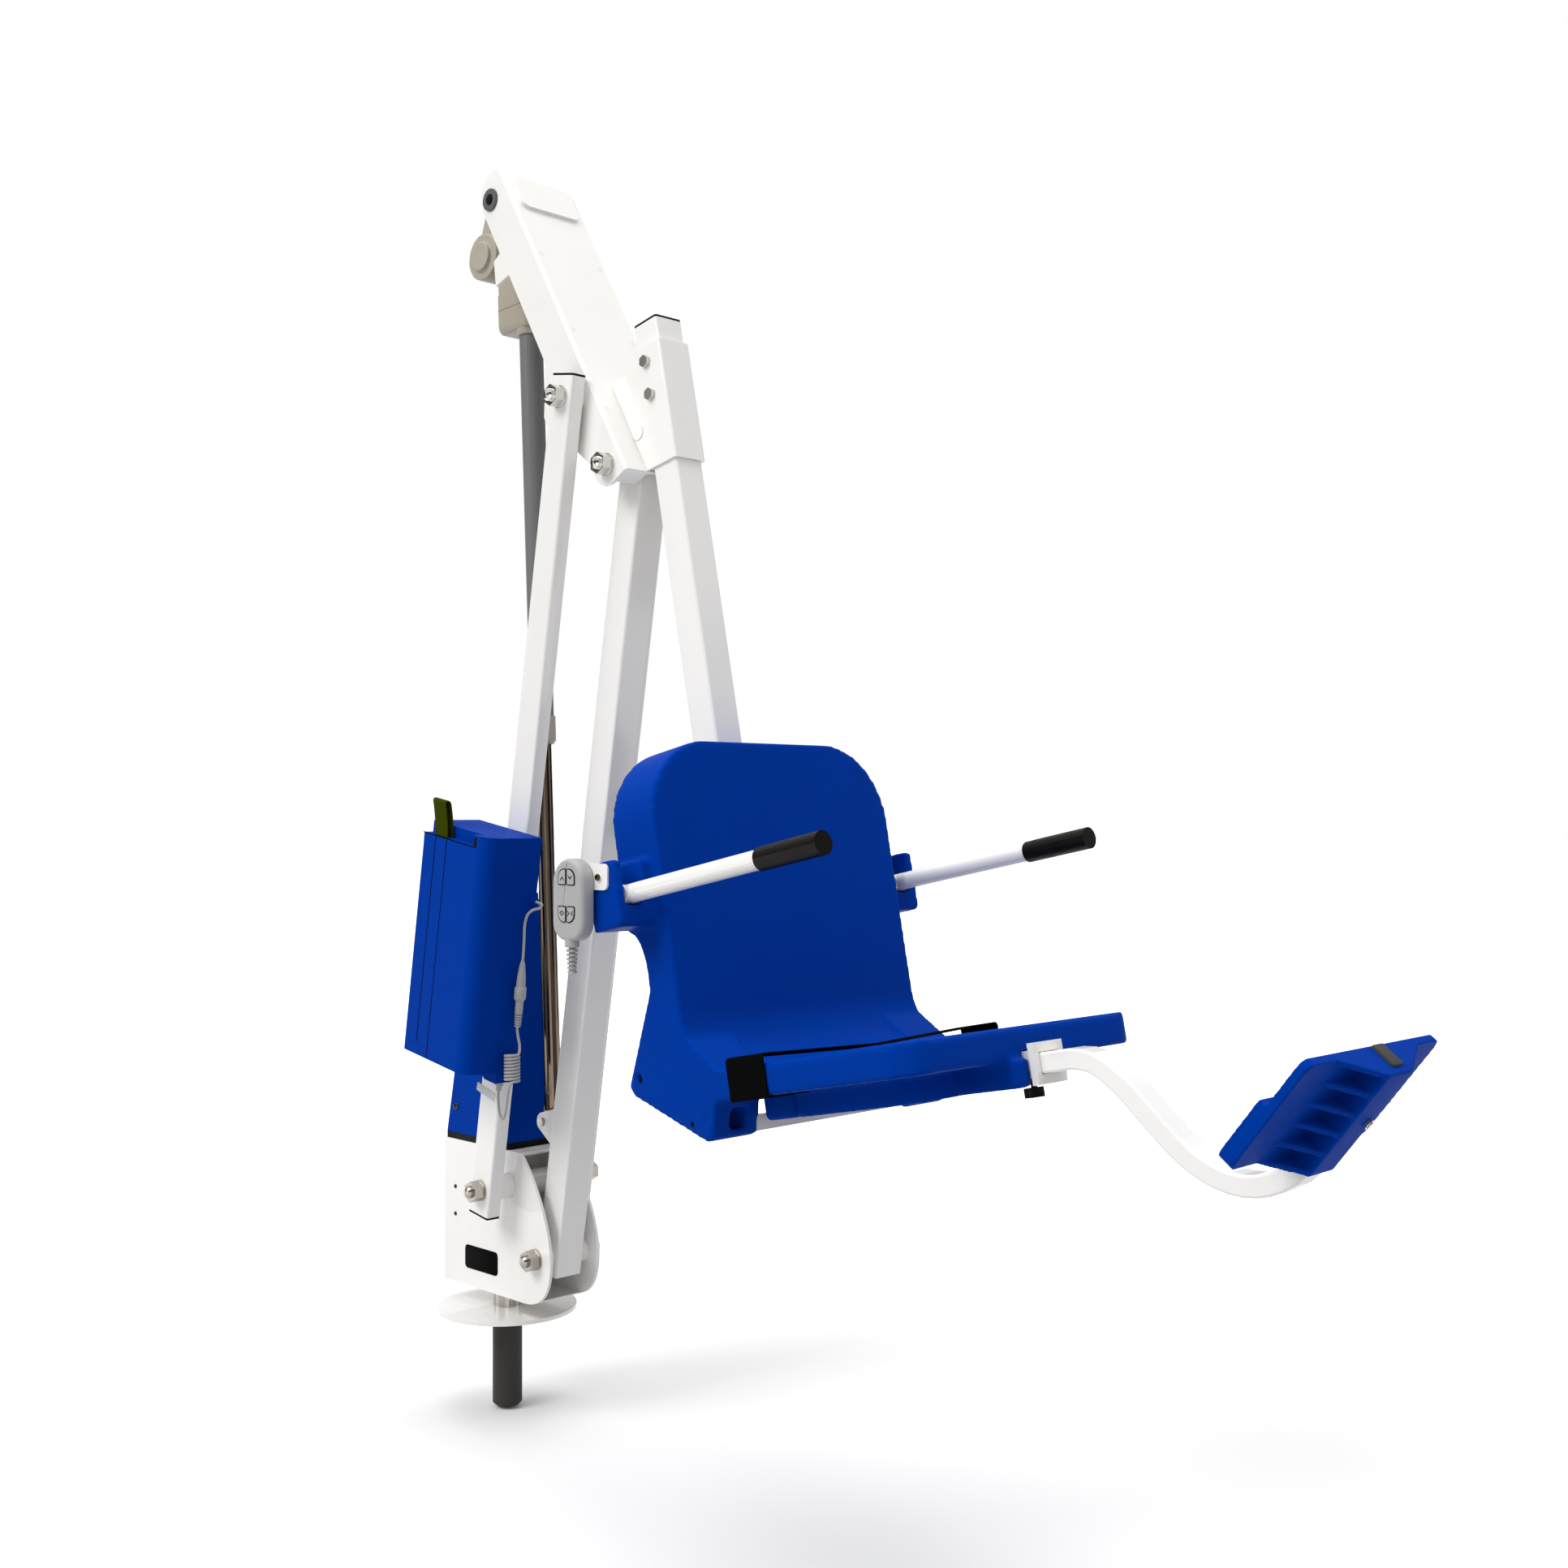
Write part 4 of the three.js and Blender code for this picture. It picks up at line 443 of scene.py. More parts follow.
def foam(name, code):
    """Closed-cell foam grip: small cells under a soft, slightly shiny skin."""
    cloud = 25.0
    cell = 0.9
    relief = 0.06
    gloss = (0.34, 0.46)
    tone_shares = (0.8, 1.3)
    tree, bsdf = shader(name, Specular_IOR_Level=0.12)
    coords = node(tree, "ShaderNodeTexCoord")
    cells = node(tree, "ShaderNodeTexVoronoi", {"Vector": coords.outputs["Object"], "Scale": 1 / (cell * MM)})
    slow = speckle(tree, cloud)
    toned(tree, bsdf, linear(code), tone_shares, slow)
    textured(tree, bsdf, gloss, slow, cells.outputs["Distance"], strength=0.5, depth=relief)


def woven(name, code):
    """Webbing: the product of weft and warp waves plus the warp wave, over the piece's own UV, which is in
    millimetres. The threads are drawn a little coarser than real ones, so that they show."""
    weft = 2.4
    warp = 1.5
    depth = 0.15
    tone_shares = (0.6, 1.7)
    tree, bsdf = shader(name, Roughness=0.8, Specular_IOR_Level=0.02)
    uv = node(tree, "ShaderNodeUVMap", uv_map="cloth")
    parts = node(tree, "ShaderNodeSeparateXYZ", {"Vector": uv.outputs["UV"]})
    waves = []
    for axis, period in (("X", weft), ("Y", warp)):
        phase = node(tree, "ShaderNodeMath", {0: parts.outputs[axis], 1: TURN / period}, operation="MULTIPLY")
        waves.append(node(tree, "ShaderNodeMath", {0: phase.outputs[0]}, operation="SINE").outputs[0])
    cross = node(tree, "ShaderNodeMath", {0: waves[0], 1: waves[1]}, operation="MULTIPLY")
    total = node(tree, "ShaderNodeMath", {0: cross.outputs[0], 1: waves[1]}, operation="ADD").outputs[0]
    # The tone follows the weave's height, darker in its hollows: the weave's own pattern, and painted shade
    # in the hollows
    share = node(tree, "ShaderNodeMapRange", {"Value": total, "From Min": -2.0, "From Max": 2.0})
    toned(tree, bsdf, linear(code), tone_shares, share.outputs["Result"])
    relief = node(tree, "ShaderNodeBump", {"Height": total, "Strength": 0.6, "Distance": depth * MM})
    tree.links.new(relief.outputs["Normal"], bsdf.inputs["Normal"])


def colour_text(name, description, code):
    """A colour that a user can change, as sRGB hex text."""
    return bpy.props.StringProperty(name=name, description=description, default=code)


def size_in_mm(name, description, default, low, high):
    """A size in millimetres that a user can change."""
    return bpy.props.FloatProperty(name=name, description=description + ", in millimetres", default=default,
                                   min=low, max=high, precision=1)


class LiftColours(bpy.types.PropertyGroup):
    """Colours as sRGB hex text"""
    white: colour_text("White paint", "Powder coat on the steel frame", "F3F1EE")
    blue: colour_text("Blue plastic", "Seat, covers, box and foot plate", "01379B")
    blue_shine: colour_text("Blue highlight", "Highlights on the blue plastic", "1E5AFF")
    post: colour_text("Post paint", "Anchor post", "3E3D3B")
    steel: colour_text("Stainless steel", "Upper bolts and shaft", "6E6961")
    bolt: colour_text("Bolt steel", "Lower pivot bolts", "A49E96")
    screw: colour_text("Screw steel", "Button-head screws", "45413C")
    # Dark brown: painted reflection of dark surroundings in the chrome
    rod: colour_text("Rod steel", "Actuator rod", "6B5E50")
    beige: colour_text("Beige plastic", "Actuator housing", "A8A193")
    shadow: colour_text("Beige seam", "Parting line of the actuator housing", "6E675B")
    grey_tube: colour_text("Grey paint", "Actuator tube", "707070")
    # Light grey, partly painted light for the shaded inside of the housing
    motor: colour_text("Motor paint", "Slewing motor", "BDBDBA")
    grey: colour_text("Grey plastic", "Handset and cord", "A9A9A9")
    black: colour_text("Black plastic", "Caps, knob and trim", "0C0B0A")
    pad: colour_text("Pad rubber", "Pad on the foot plate", "3B3B3A")
    # Black of the arrows and the blank plate, and painted shade in seams, screw holes and the gaps round the
    # keys
    dark_marks_and_shade: colour_text("Dark marks", "Seams, holes, key edges and arrows", "050505")
    tag: colour_text("Tag", "Blank tag on the cord", "CBCBC8")
    bushing: colour_text("Bushing", "Head bushing", "4C4D50")
    grip: colour_text("Grip foam", "Armrest grips", "0B0806")
    # Also the near-black strap end in the box's slot, as painted shade
    webbing: colour_text("Belt webbing", "Seat belt", "050505")
    strap: colour_text("Strap webbing", "Pull strap on the battery", "323A02")
    card: colour_text("Studio card", "Dark cards that only reflections see", "12100E")
    floor: colour_text("Floor as light", "Floor as the object's lighting sees it", "B4B4B4")
    floor_seen: colour_text("Floor as seen", "Floor as the camera sees it", "F2F2F2")


class LiftSizes(bpy.types.PropertyGroup):
    """Sizes in millimetres"""
    cord: size_in_mm("Cord diameter", "Grey cord on the control box", 4.2, 1.0, 10.0)
    belt: size_in_mm("Belt width", "Seat belt", 68.0, 20.0, 80.0)
    belt_sheet: size_in_mm("Belt thickness", "Seat belt", 2.2, 0.5, 4.0)
    strap: size_in_mm("Strap width", "Battery pull strap", 33.0, 10.0, 50.0)
    strap_sheet: size_in_mm("Strap thickness", "Battery pull strap", 2.2, 0.5, 4.0)


class LIFT_OT_materials(bpy.types.Operator):
    """Makes the materials"""
    bl_idname = "lift.materials"
    bl_label = "Make materials"

    def execute(self, context):
        c = context.scene.lift_colours
        # Baked powder coat: bright and smooth, with broad soft highlights
        painted("powder_coated_steel", c.white, (0.08, 0.16), grain=1.3, relief=0.012)
        # The flange's coat is polished, so that the shaft above shows in it
        painted("polished_powder_coat", c.white, (0.03, 0.07), grain=1.3, relief=0.004, shine=1.0)
        # Rotomoulded polyethylene: deep, even colour with a pebbled skin and hardly any highlight
        painted("rotomoulded_polyethylene", c.blue, (0.42, 0.56), grain=1.6, relief=0.05, shine=0.02,
                tone_shares=(0.94, 1.06), highlight=c.blue_shine)
        # Brushed-on dark paint: matt and a little uneven
        painted("painted_steel_post", c.post, (0.4, 0.6), grain=0.8, relief=0.04, shine=0.12)
        # Injection-moulded nylon: satin, with a warm tone
        painted("moulded_nylon", c.beige, (0.42, 0.55), grain=0.8, relief=0.03, shine=0.3,
                tone_shares=(0.94, 1.05))
        # The same nylon in the shadow of its parting line
        painted("moulded_nylon_shadow", c.shadow, (0.5, 0.6), grain=0.8, relief=0.02, shine=0.1)
        # Stoved grey paint: satin, with a long soft highlight
        painted("painted_actuator_tube", c.grey_tube, (0.3, 0.45), grain=0.7, shine=0.3)
        # Paint on the motor's drum: satin and light grey, lighter also to stand in for light that the lamps
        # don't bring inside the housing: partly painted light
        painted("gearmotor_paint_and_painted_light", c.motor, (0.3, 0.45), grain=0.7, shine=0.4)
        # Moulded rubber: dull and dark grey
        painted("pad_rubber", c.pad, (0.5, 0.65), grain=0.7, relief=0.04, shine=0.2)
        # Moulded grey plastic: satin, with soft rounded highlights
        painted("moulded_grey_plastic", c.grey, (0.4, 0.5), grain=0.6, shine=0.3)
        # Pressed polyethylene: nearly black, with a dull bloom
        painted("black_polyethylene", c.black, (0.4, 0.55), relief=0.03, shine=0.08, tone_shares=(0.8, 1.4))
        # Turned nylon: dark grey with a clear highlight
        painted("bushing_nylon", c.bushing, (0.35, 0.5), relief=0.03)
        # Matt black: the keys' arrows and the blank plate, and painted shade in the box's seams, in the screw
        # holes and in the gaps round the keys
        painted("black_print_and_painted_shade", c.dark_marks_and_shade, (0.5, 0.6), grain=0.8, relief=0.01, shine=0.02)
        # Vinyl sheet: smooth, off-white and bare
        painted("blank_tag_vinyl", c.tag, (0.35, 0.45), relief=0.01)
        # The strap's end in its slot, drawn near black as painted shade of the slot: rough, without its weave
        painted("strap_webbing_in_painted_shade", c.webbing, (0.7, 0.8), grain=1.0, relief=0.05, shine=0.1)
        # Polished stainless steel: bright facets beside dark ones
        steel("stainless_steel", c.steel)
        # Stainless steel of the lower bolts: lighter and even
        steel("bolt_steel", c.bolt)
        # Small screws: darker, because their sockets hold the shadow
        steel("screw_steel", c.screw, (0.2, 0.3))
        # Ground and chromed rod: sharp streaks along its length, and a dark brown colour that is painted
        # reflection of dark, brownish surroundings
        steel("hard_chromed_rod", c.rod, (0.1, 0.18))
        # Moulded foam sleeve: black-brown, with a faint line of light
        foam("grip_foam", c.grip)
        # Woven polyester: black, with ribs across
        woven("belt_webbing", c.webbing)
        # Woven cotton: olive, with ribs across
        woven("strap_webbing", c.strap)
        return {"FINISHED"}


class LIFT_OT_cords(bpy.types.Operator):
    """Makes the supply lead and the coiled cord in front of the control box"""
    bl_idname = "lift.cords"
    bl_label = "Make cords"

    lead_points = (
        (228.2, -114, 676.1), (232.5, -113.8, 675.4), (237.6, -110.6, 672.4), (236, -112.6, 667.4),
        (229.6, -120.6, 664.4), (224.6, -126.6, 658), (221.4, -129.4, 646), (219, -130, 614),
        (216.9, -130, 593.4), (216.05, -130, 588.3),
    )
    above_coil = ((199.45, -127.5, 486.7), (198.7, -127.4, 482), (199.8, -126.2, 470), (202, -125.3, 457))
    below_coil = (
        (202.4, -144.6, 399.5), (198.6, -144.2, 391), (191, -141, 372), (180.5, -137.5, 352),
        (171, -135, 345), (162, -133.5, 353), (158.2, -133, 372), (158.1, -133, 383), (158.8, -133, 387.3),
    )
    coil_centre = (195.4, -134.6)
    coil_radius = 10.6
    coil_top = 446.0
    coil_bottom = 405.0
    coil_turns = 8 + 1 / 6
    coil_start = math.radians(30)
    coil_steps = 8
    cord_sides = 12
    lead_gap_steps = 6
    coil_gap_steps = 3

    def execute(self, context):
        lead = smooth_route(self.lead_points, self.lead_gap_steps) * MM
        self.cord(context, "grey_supply_lead", lead, "supply_lead", ["cord_connector"], "connector",
                  "hanging")
        points = np.vstack([self.above_coil, self.coil(), self.below_coil])
        coiled = smooth_route(points, self.coil_gap_steps) * MM
        self.cord(context, "grey_coiled_cord", coiled, "coiled_cord", ["cord_plug"], "plug", "coiled")
        return {"FINISHED"}

    def coil(self):
        """A helix: a circle by the cosine and sine of a falling angle, whose height falls evenly."""
        count = round(self.coil_turns * self.coil_steps)
        share = np.arange(count + 1) / count
        angle = self.coil_start - share * self.coil_turns * TURN
        return np.stack([self.coil_centre[0] + self.coil_radius * np.cos(angle),
                         self.coil_centre[1] + self.coil_radius * np.sin(angle),
                         self.coil_top + share * (self.coil_bottom - self.coil_top)], axis=-1)

    def cord(self, context, name, path, node_name, pieces, far_end, lay):
        """A round cord along the path, standing for its CAD node, which it hides."""
        diameter = context.scene.lift_sizes.cord * MM
        obj = sweep(name, path, circle(diameter / 2, self.cord_sides))
        finish_piece(obj, "moulded_grey_plastic", "near_link", "grey_plastic", node_name)


class LIFT_OT_webbing(bpy.types.Operator):
    """Makes the seat belt and the battery's pull strap"""
    bl_idname = "lift.webbing"
    bl_label = "Make webbing"

    belt_half = 229.7
    belt_under = -40.7
    belt_shoulder = 12.8
    belt_middle = 5.0
    belt_end = 158.0
    belt_front_edge = 144.0
    belt_radii = (3.0, 6.0, 300.0, 6.0, 3.0)
    strap_rear = -204.8
    strap_front = -195.2
    strap_foot = 557.6
    strap_top = 610.8
    strap_radii = (4.6, 4.6)
    strap_step = 2.0
    strap_start = -66.0
    strap_lean = 15.0
    strap_lean_power = 1.6

    def execute(self, context):
        self.belt(context.scene.lift_sizes)
        self.strap(context.scene.lift_sizes)
        return {"FINISHED"}

    def belt(self, sizes):
        """Over the pan, down both sides and back under it."""
        half, under, shoulder = self.belt_half, self.belt_under, self.belt_shoulder
        line = corner_line(
            [(-self.belt_end, under), (-half, under), (-half, shoulder), (0, self.belt_middle),
             (half, shoulder), (half, under), (self.belt_end, under)], self.belt_radii)
        obj, length = ribbon("lap_belt", line, in_seat, sizes.belt, sizes.belt_sheet,
                             self.belt_front_edge - sizes.belt)
        finish_piece(obj, "belt_webbing", "head", "black_webbing", "seat_belt")

    def strap(self, sizes):
        """An upright loop whose top leans to the rear."""
        rear, front, foot, top = self.strap_rear, self.strap_front, self.strap_foot, self.strap_top
        line = evenly(corner_line([(rear, foot), (rear, top), (front, top), (front, foot)], self.strap_radii),
                      self.strap_step)

        def swayed(points):
            """Moved to the rear by the lean times the share of the height, raised to a power."""
            p = np.array(points, dtype=float)
            share = np.clip(p[..., 2] - foot, 0, None) / (top - foot)
            p[..., 0] -= self.strap_lean * share ** self.strap_lean_power
            return in_link(p)

        obj, length = ribbon("battery_pull_strap", line, swayed, sizes.strap, sizes.strap_sheet,
                             self.strap_start)
        finish_piece(obj, "strap_webbing", "battery", "olive_webbing", "pull_strap")


class LIFT_OT_handset(bpy.types.Operator):
    """Makes the handset's rounded shell, its cord relief, its stud and its four keys"""
    bl_idname = "lift.handset"
    bl_label = "Make the handset"

    face = -314.6
    depth = 21.0
    shell_x = (526.5, 589.5)
    shell_z = (644.5, 751.5)
    shell_radii = (31.5, 31.5, 24.0, 24.0)
    shell_back = ((0.0, 3.0), (1.0, 1.0), (3.4, 0.0))
    shell_edge = 6.0
    key_field_inset = 6.8
    relief_x = 556.0
    relief_neck = ((9.8, 648.0), (9.8, 637.0), (8.8, 635.8), (4.4, 635.6))
    relief_ribs = {"core": 4.4, "rib": 7.8, "growth": -0.34, "start": 635.4, "pitch": -5.6,
                   "offsets": (-1.9, -2.1, -5.4, -5.6), "count": 6}
    stud_place = (557.0, -293.6, 728.0)
    stud_profile = ((4.2, -8.0), (4.2, 3.6), (7.0, 3.7), (7.0, 6.6), (6.0, 7.2))
    rim_half = (8.3, 10.7)
    rim_extra_radius = 1.0
    rim_layers = ((-0.5, 0.0), (0.9, 0.0), (1.0, 0.2))
    cap_half = (7.0, 9.4)
    cap_layers = ((-0.5, 0.0), (1.14, 0.0), (1.2, 0.2))
    arrow_layers = ((1.12, 0.0), (1.36, 0.0))
    lone_arrow = 3.9
    paired_arrow = 3.0
    arrow_rise = 1.9
    arrow_stroke = 2.0
    # Key centre, corner radii, and its arrows as quarter turns and shifts from the centre
    keys = {
        "raise": ((549, 727.5), (1.5, 11, 1.5, 1.5), ((0, (0.8, -1.5)),)),
        "lower": ((567, 727.5), (11, 1.5, 1.5, 1.5), ((2, (-0.8, -1.5)),)),
        "turn_left": ((549, 679), (1.5, 1.5, 11, 1.5), ((1, (-2.6, 1.5)), (3, (3.2, 1.5)))),
        "turn_right": ((567, 679), (1.5, 1.5, 1.5, 11), ((3, (-3.2, 1.5)), (1, (2.6, 1.5)))),
    }

    def execute(self, context):
        place = on_near_face(self.face, in_row)
        back = np.array(self.shell_back) - (self.depth, 0.0)
        edge = soft_layers(back[-1, 0], 0.0, self.shell_edge, steps=6)[1:]
        shell = slab("handset_shell", cornered(*self.shell_x, *self.shell_z, self.shell_radii, steps=12),
                     np.vstack([back, edge, (0.0, self.key_field_inset)]), place)
        relief = lathe("handset_cord_relief", np.vstack([self.relief_neck, ribbed(**self.relief_ribs)])[::-1],
                       placed(in_row, (self.relief_x, self.face + self.depth / 2, 0.0)))
        stud = lathe("handset_stud", self.stud_profile, placed(in_row, self.stud_place, (0, 2, 1)))
        for obj in (shell, relief, stud):
            finish_piece(obj, "moulded_grey_plastic", "handset", "grey_plastic", "handset_body")
        for name, (centre, radii, arrows) in self.keys.items():
            self.key(name, np.array(centre), np.array(radii), arrows, place)
        return {"FINISHED"}

    def key(self, name, centre, radii, arrows, place):
        """A key whose dark edge, painted shade of the gap round it, shows round its grey top, and its arrows.
        """
        body = name + "_button"
        # The dark ring just outside the cap is painted shade of the gap between key and shell
        rim = slab("key_gap_shade_" + name, self.box(centre, self.rim_half, radii + self.rim_extra_radius),
                   self.rim_layers, place)
        finish_piece(rim, "black_print_and_painted_shade", body, "grey_plastic")
        cap = slab("key_cap_" + name, self.box(centre, self.cap_half, radii), self.cap_layers, place)
        finish_piece(cap, "moulded_grey_plastic", body, "grey_plastic", "button_" + name)
        half = self.lone_arrow if len(arrows) == 1 else self.paired_arrow
        for index, (turn, shift) in enumerate(arrows):
            mark = slab(f"key_arrow_{name}_{index}", self.chevron(turn, centre + shift, half),
                        self.arrow_layers, place)
            finish_piece(mark, "black_print_and_painted_shade", body, "grey_plastic")

    def box(self, centre, half, radii):
        """A rounded box about a centre."""
        x, z = centre
        return cornered(x - half[0], x + half[0], z - half[1], z + half[1], radii)

    def chevron(self, turn, centre, half):
        """Outline of a chevron that points up, turned by quarter turns about its centre."""
        rise, stroke = self.arrow_rise, self.arrow_stroke
        p = np.array([(-half, -rise), (-half, -rise - stroke), (0, rise - stroke), (half, -rise - stroke),
                      (half, -rise), (0, rise)])
        cosine, sine = math.cos(QUARTER * turn), math.sin(QUARTER * turn)
        return centre + p @ np.array([(cosine, sine), (-sine, cosine)])


class LIFT_OT_blank_labels(bpy.types.Operator):
    """Makes the blank plate on the near cheek and the blank tag on the plug"""
    bl_idname = "lift.blank_labels"
    bl_label = "Make the blank labels"

    plate_x = (-48.0, 41.0)
    plate_z = (66.0, 104.0)
    plate_corner = 7.0
    plate_sunk = -0.5
    plate_proud = 1.0
    plate_edge = 0.4
    tag_place = (128.5, -134.0, 382.0)
    tag_tilt = math.radians(-17)
    tag_half = (24.0, 6.5)
    tag_corner = 1.5
    tag_thick = 0.8

    def execute(self, context):
        plate = slab("blank_plate", cornered(*self.plate_x, *self.plate_z, self.plate_corner),
                     soft_layers(self.plate_sunk, self.plate_proud, self.plate_edge, steps=2),
                     on_near_face(CHEEK_FACE, in_row))
        finish_piece(plate, "black_print_and_painted_shade", "carriage", "white_powder_coat")
        half = self.tag_half
        tag = slab("blank_tag", cornered(-half[0], half[0], -half[1], half[1], self.tag_corner),
                   ((0.0, 0.0), (self.tag_thick, 0.0)), self.on_tag)
        finish_piece(tag, "blank_tag_vinyl", "near_link", "white_powder_coat")
        return {"FINISHED"}

    def on_tag(self, p):
        """Along and across the tag, turned by its tilt, at its place."""
        cosine, sine = math.cos(self.tag_tilt), math.sin(self.tag_tilt)
        turned = np.stack([p[..., 0] * cosine - p[..., 1] * sine, -p[..., 2],
                           p[..., 0] * sine + p[..., 1] * cosine], axis=-1)
        return in_row(turned + self.tag_place)


class LIFT_OT_screws(bpy.types.Operator):
    """Makes the button-head screws of the base and the handset's clip"""
    bl_idname = "lift.screws"
    bl_label = "Make the screws"

    # Name, place along X and Z, face, radius and body
    screws = (
        ("cheek_screw_upper", -76, 194, CHEEK_FACE, 3.4, "carriage"),
        ("cheek_screw_lower", -76, 149, CHEEK_FACE, 3.4, "carriage"),
        ("cover_screw", -75, 326, COVER_FACE, 6.0, "carriage"),
        ("clip_screw", 598, 727.5, CLIP_FACE, 4.6, "head"),
    )
    sunk = -0.6
    rim = 0.3
    # Radius and height of the dome and of its socket, as shares of the head's radius
    dome_shares = ((0.94, 0.3), (0.78, 0.48), (0.5, 0.56), (0.46, 0.3), (0.2, 0.25))
    sides = 24

    def execute(self, context):
        for name, x, z, face, radius, body in self.screws:
            dome = radius * np.array(self.dome_shares)
            profile = np.vstack([(radius, self.sunk), (radius, self.rim), dome])
            obj = lathe(name, profile, on_near_face(face, in_row, x, z), self.sides)
            finish_piece(obj, "screw_steel", body, "stainless_steel")
        return {"FINISHED"}


class LIFT_OT_box_seams(bpy.types.Operator):
    """Makes dark strips of painted shadow in the control box's seams, and its spare strap slot"""
    bl_idname = "lift.box_seams"
    bl_label = "Make the box seams"

    # Name, span along the box, span up it and body
    strips = (
        ("battery_seam", (-58.9, -57.3), (235.5, 556.2), "battery"),
        ("case_seam", (-29.4, -27.8), (218.0, 556.2), "near_link"),
        ("battery_rim_seam", (-91.0, -30.0), (556.2, 557.9), "battery"),
        ("case_rim_seam", (-29.4, 47.0), (556.2, 557.9), "near_link"),
    )
    strip_corner = 0.3
    strip_layers = ((-0.4, 0.0), (0.25, 0.0))
    slot_x = (41.0, 47.5)
    slot_z = (556.4, 572.5)
    slot_radii = (3.0, 3.0, 0.5, 0.5)
    slot_layers = ((-0.4, 0.0), (0.35, 0.0))

    def execute(self, context):
        place = on_near_face(BOX_FACE, in_link)
        # Painted shadow: each strip is a black band in a seam of the box or along the edge of its rim
        for name, along, up, body in self.strips:
            obj = slab(name, cornered(*along, *up, self.strip_corner, steps=2), self.strip_layers, place)
            finish_piece(obj, "black_print_and_painted_shade", body, "black_plastic")
        # The strap in the slot is drawn near black: painted shade
        slot = slab("spare_strap_slot", cornered(*self.slot_x, *self.slot_z, self.slot_radii),
                    self.slot_layers, place)
        finish_piece(slot, "strap_webbing_in_painted_shade", "near_link", "olive_webbing")
        return {"FINISHED"}


class LIFT_OT_seat_details(bpy.types.Operator):
    """Makes the tub's rear part, the screw holes in the seat's foot as black discs of painted shade, and the
    foot plate's pad
    """
    bl_idname = "lift.seat_details"
    bl_label = "Make the seat details"

    pad_x = (2.5, 32.5)
    pad_y = (-6.0, 17.0)
    pad_corner = 1.5
    pad_sunk = -1.0
    pad_proud = 3.2
    pad_edge = 0.6
    hole_places = ((-94.0, 2.0), (-3.0, -62.0))
    hole_radius = 3.2
    hole_sides = 20
    hole_layers = ((-1.0, 0.0), (0.25, 0.0))
    tub_x = (48.0, 112.0)
    tub_half = 155.6
    tub_corner = 16.0
    # Depth under the pan and inset of the tub's rounded bottom
    tub_layers = ((-71.6, 6.0), (-70.6, 3.4), (-68.0, 1.2), (-64.0, 0.0), (-37.0, 0.0))

    def execute(self, context):
        pad = slab("foot_plate_pad", cornered(*self.pad_x, *self.pad_y, self.pad_corner),
                   soft_layers(self.pad_sunk, self.pad_proud, self.pad_edge, steps=2), in_foot)
        finish_piece(pad, "pad_rubber", "footrest", "black_plastic")
        ring = circle(self.hole_radius, self.hole_sides)
        # Each screw hole is a black disc, proud of the face: painted shade for the hole's dark inside
        for index, centre in enumerate(self.hole_places):
            hole = slab(f"wedge_hole_{index}", ring + centre, self.hole_layers,
                        on_near_face(SEAT_FOOT_FACE, in_seat))
            finish_piece(hole, "black_print_and_painted_shade", "head", "black_plastic")
        tub = slab("tub_rear_part", cornered(*self.tub_x, -self.tub_half, self.tub_half, self.tub_corner),
                   self.tub_layers, in_seat)
        finish_piece(tub, "rotomoulded_polyethylene", "head", "blue_plastic")
        return {"FINISHED"}


class LIFT_OT_mast_details(bpy.types.Operator):
    """Makes the head's weld marks, the mast's paint seam and the two plates of the actuator's lug"""
    bl_idname = "lift.mast_details"
    bl_label = "Make the mast details"

    mark_rows = (80.0, 235.0, 390.0)
    mark_across = 58.0
    mark_half = 3.6
    mark_step = 4.4
    marks_in_a_pair = 2
    mark_width = 1.1
    mark_corner = 0.5
    mark_layers = ((-0.5, 0.0), (0.35, 0.2))
    seam_half = 25.75
    seam_corner = 4.3
    seam_layers = ((92.0, 0.0), (92.9, 0.0))
    lug_pin = (-51.5, 204.3)
    lug_nose = 15.2
    lug_nose_turns = (math.radians(112), math.radians(234))
    lug_nose_points = 16
    lug_root = -25.0
    lug_span = 29.2
    lug_chamfer = 0.6
    # Inner and outer height of each plate, measured towards -Y
    lug_plates = {"near": (16.0, 22.15), "far": (-22.15, -16.0)}

    def execute(self, context):
        self.weld_marks()
        half = self.seam_half
        seam = slab("mast_foot_seam", cornered(-half, half, -half, half, self.seam_corner), self.seam_layers,
                    in_mast)
        finish_piece(seam, "powder_coated_steel", "mast", "white_powder_coat")
        self.lug()
        return {"FINISHED"}

    def weld_marks(self):
        """Pairs of short marks on both sides of the head's front plate."""
        for row, up in enumerate(self.mark_rows):
            for side, name in ((-1, "near"), (1, "far")):
                for k in range(self.marks_in_a_pair):
                    across = side * self.mark_across
                    low = up + self.mark_step * k
                    outline = cornered(across - self.mark_half, across + self.mark_half, low,
                                       low + self.mark_width, self.mark_corner, steps=2)
                    obj = slab(f"weld_mark_{name}_{row}_{k}", outline, self.mark_layers,
                               on_front_face(HEAD_FRONT_FACE, in_head))
                    finish_piece(obj, "powder_coated_steel", "head", "white_powder_coat")

    def lug(self):
        """Plates shaped as a triangle with a round nose: an arc about the pin, closed by two root corners."""
        x, z = self.lug_pin
        turn = np.linspace(*self.lug_nose_turns, self.lug_nose_points)
        nose = np.stack([x + self.lug_nose * np.cos(turn), z + self.lug_nose * np.sin(turn)], axis=-1)
        outline = np.vstack([(self.lug_root, z + self.lug_span), nose, (self.lug_root, z - self.lug_span)])
        for name, (inner, outer) in self.lug_plates.items():
            layers = ((inner, 0.0), (outer - self.lug_chamfer, 0.0), (outer, self.lug_chamfer))
            obj = slab("mast_lug_" + name, outline, layers, on_near_face(0.0, in_mast))
            finish_piece(obj, "powder_coated_steel", "mast", "white_powder_coat")


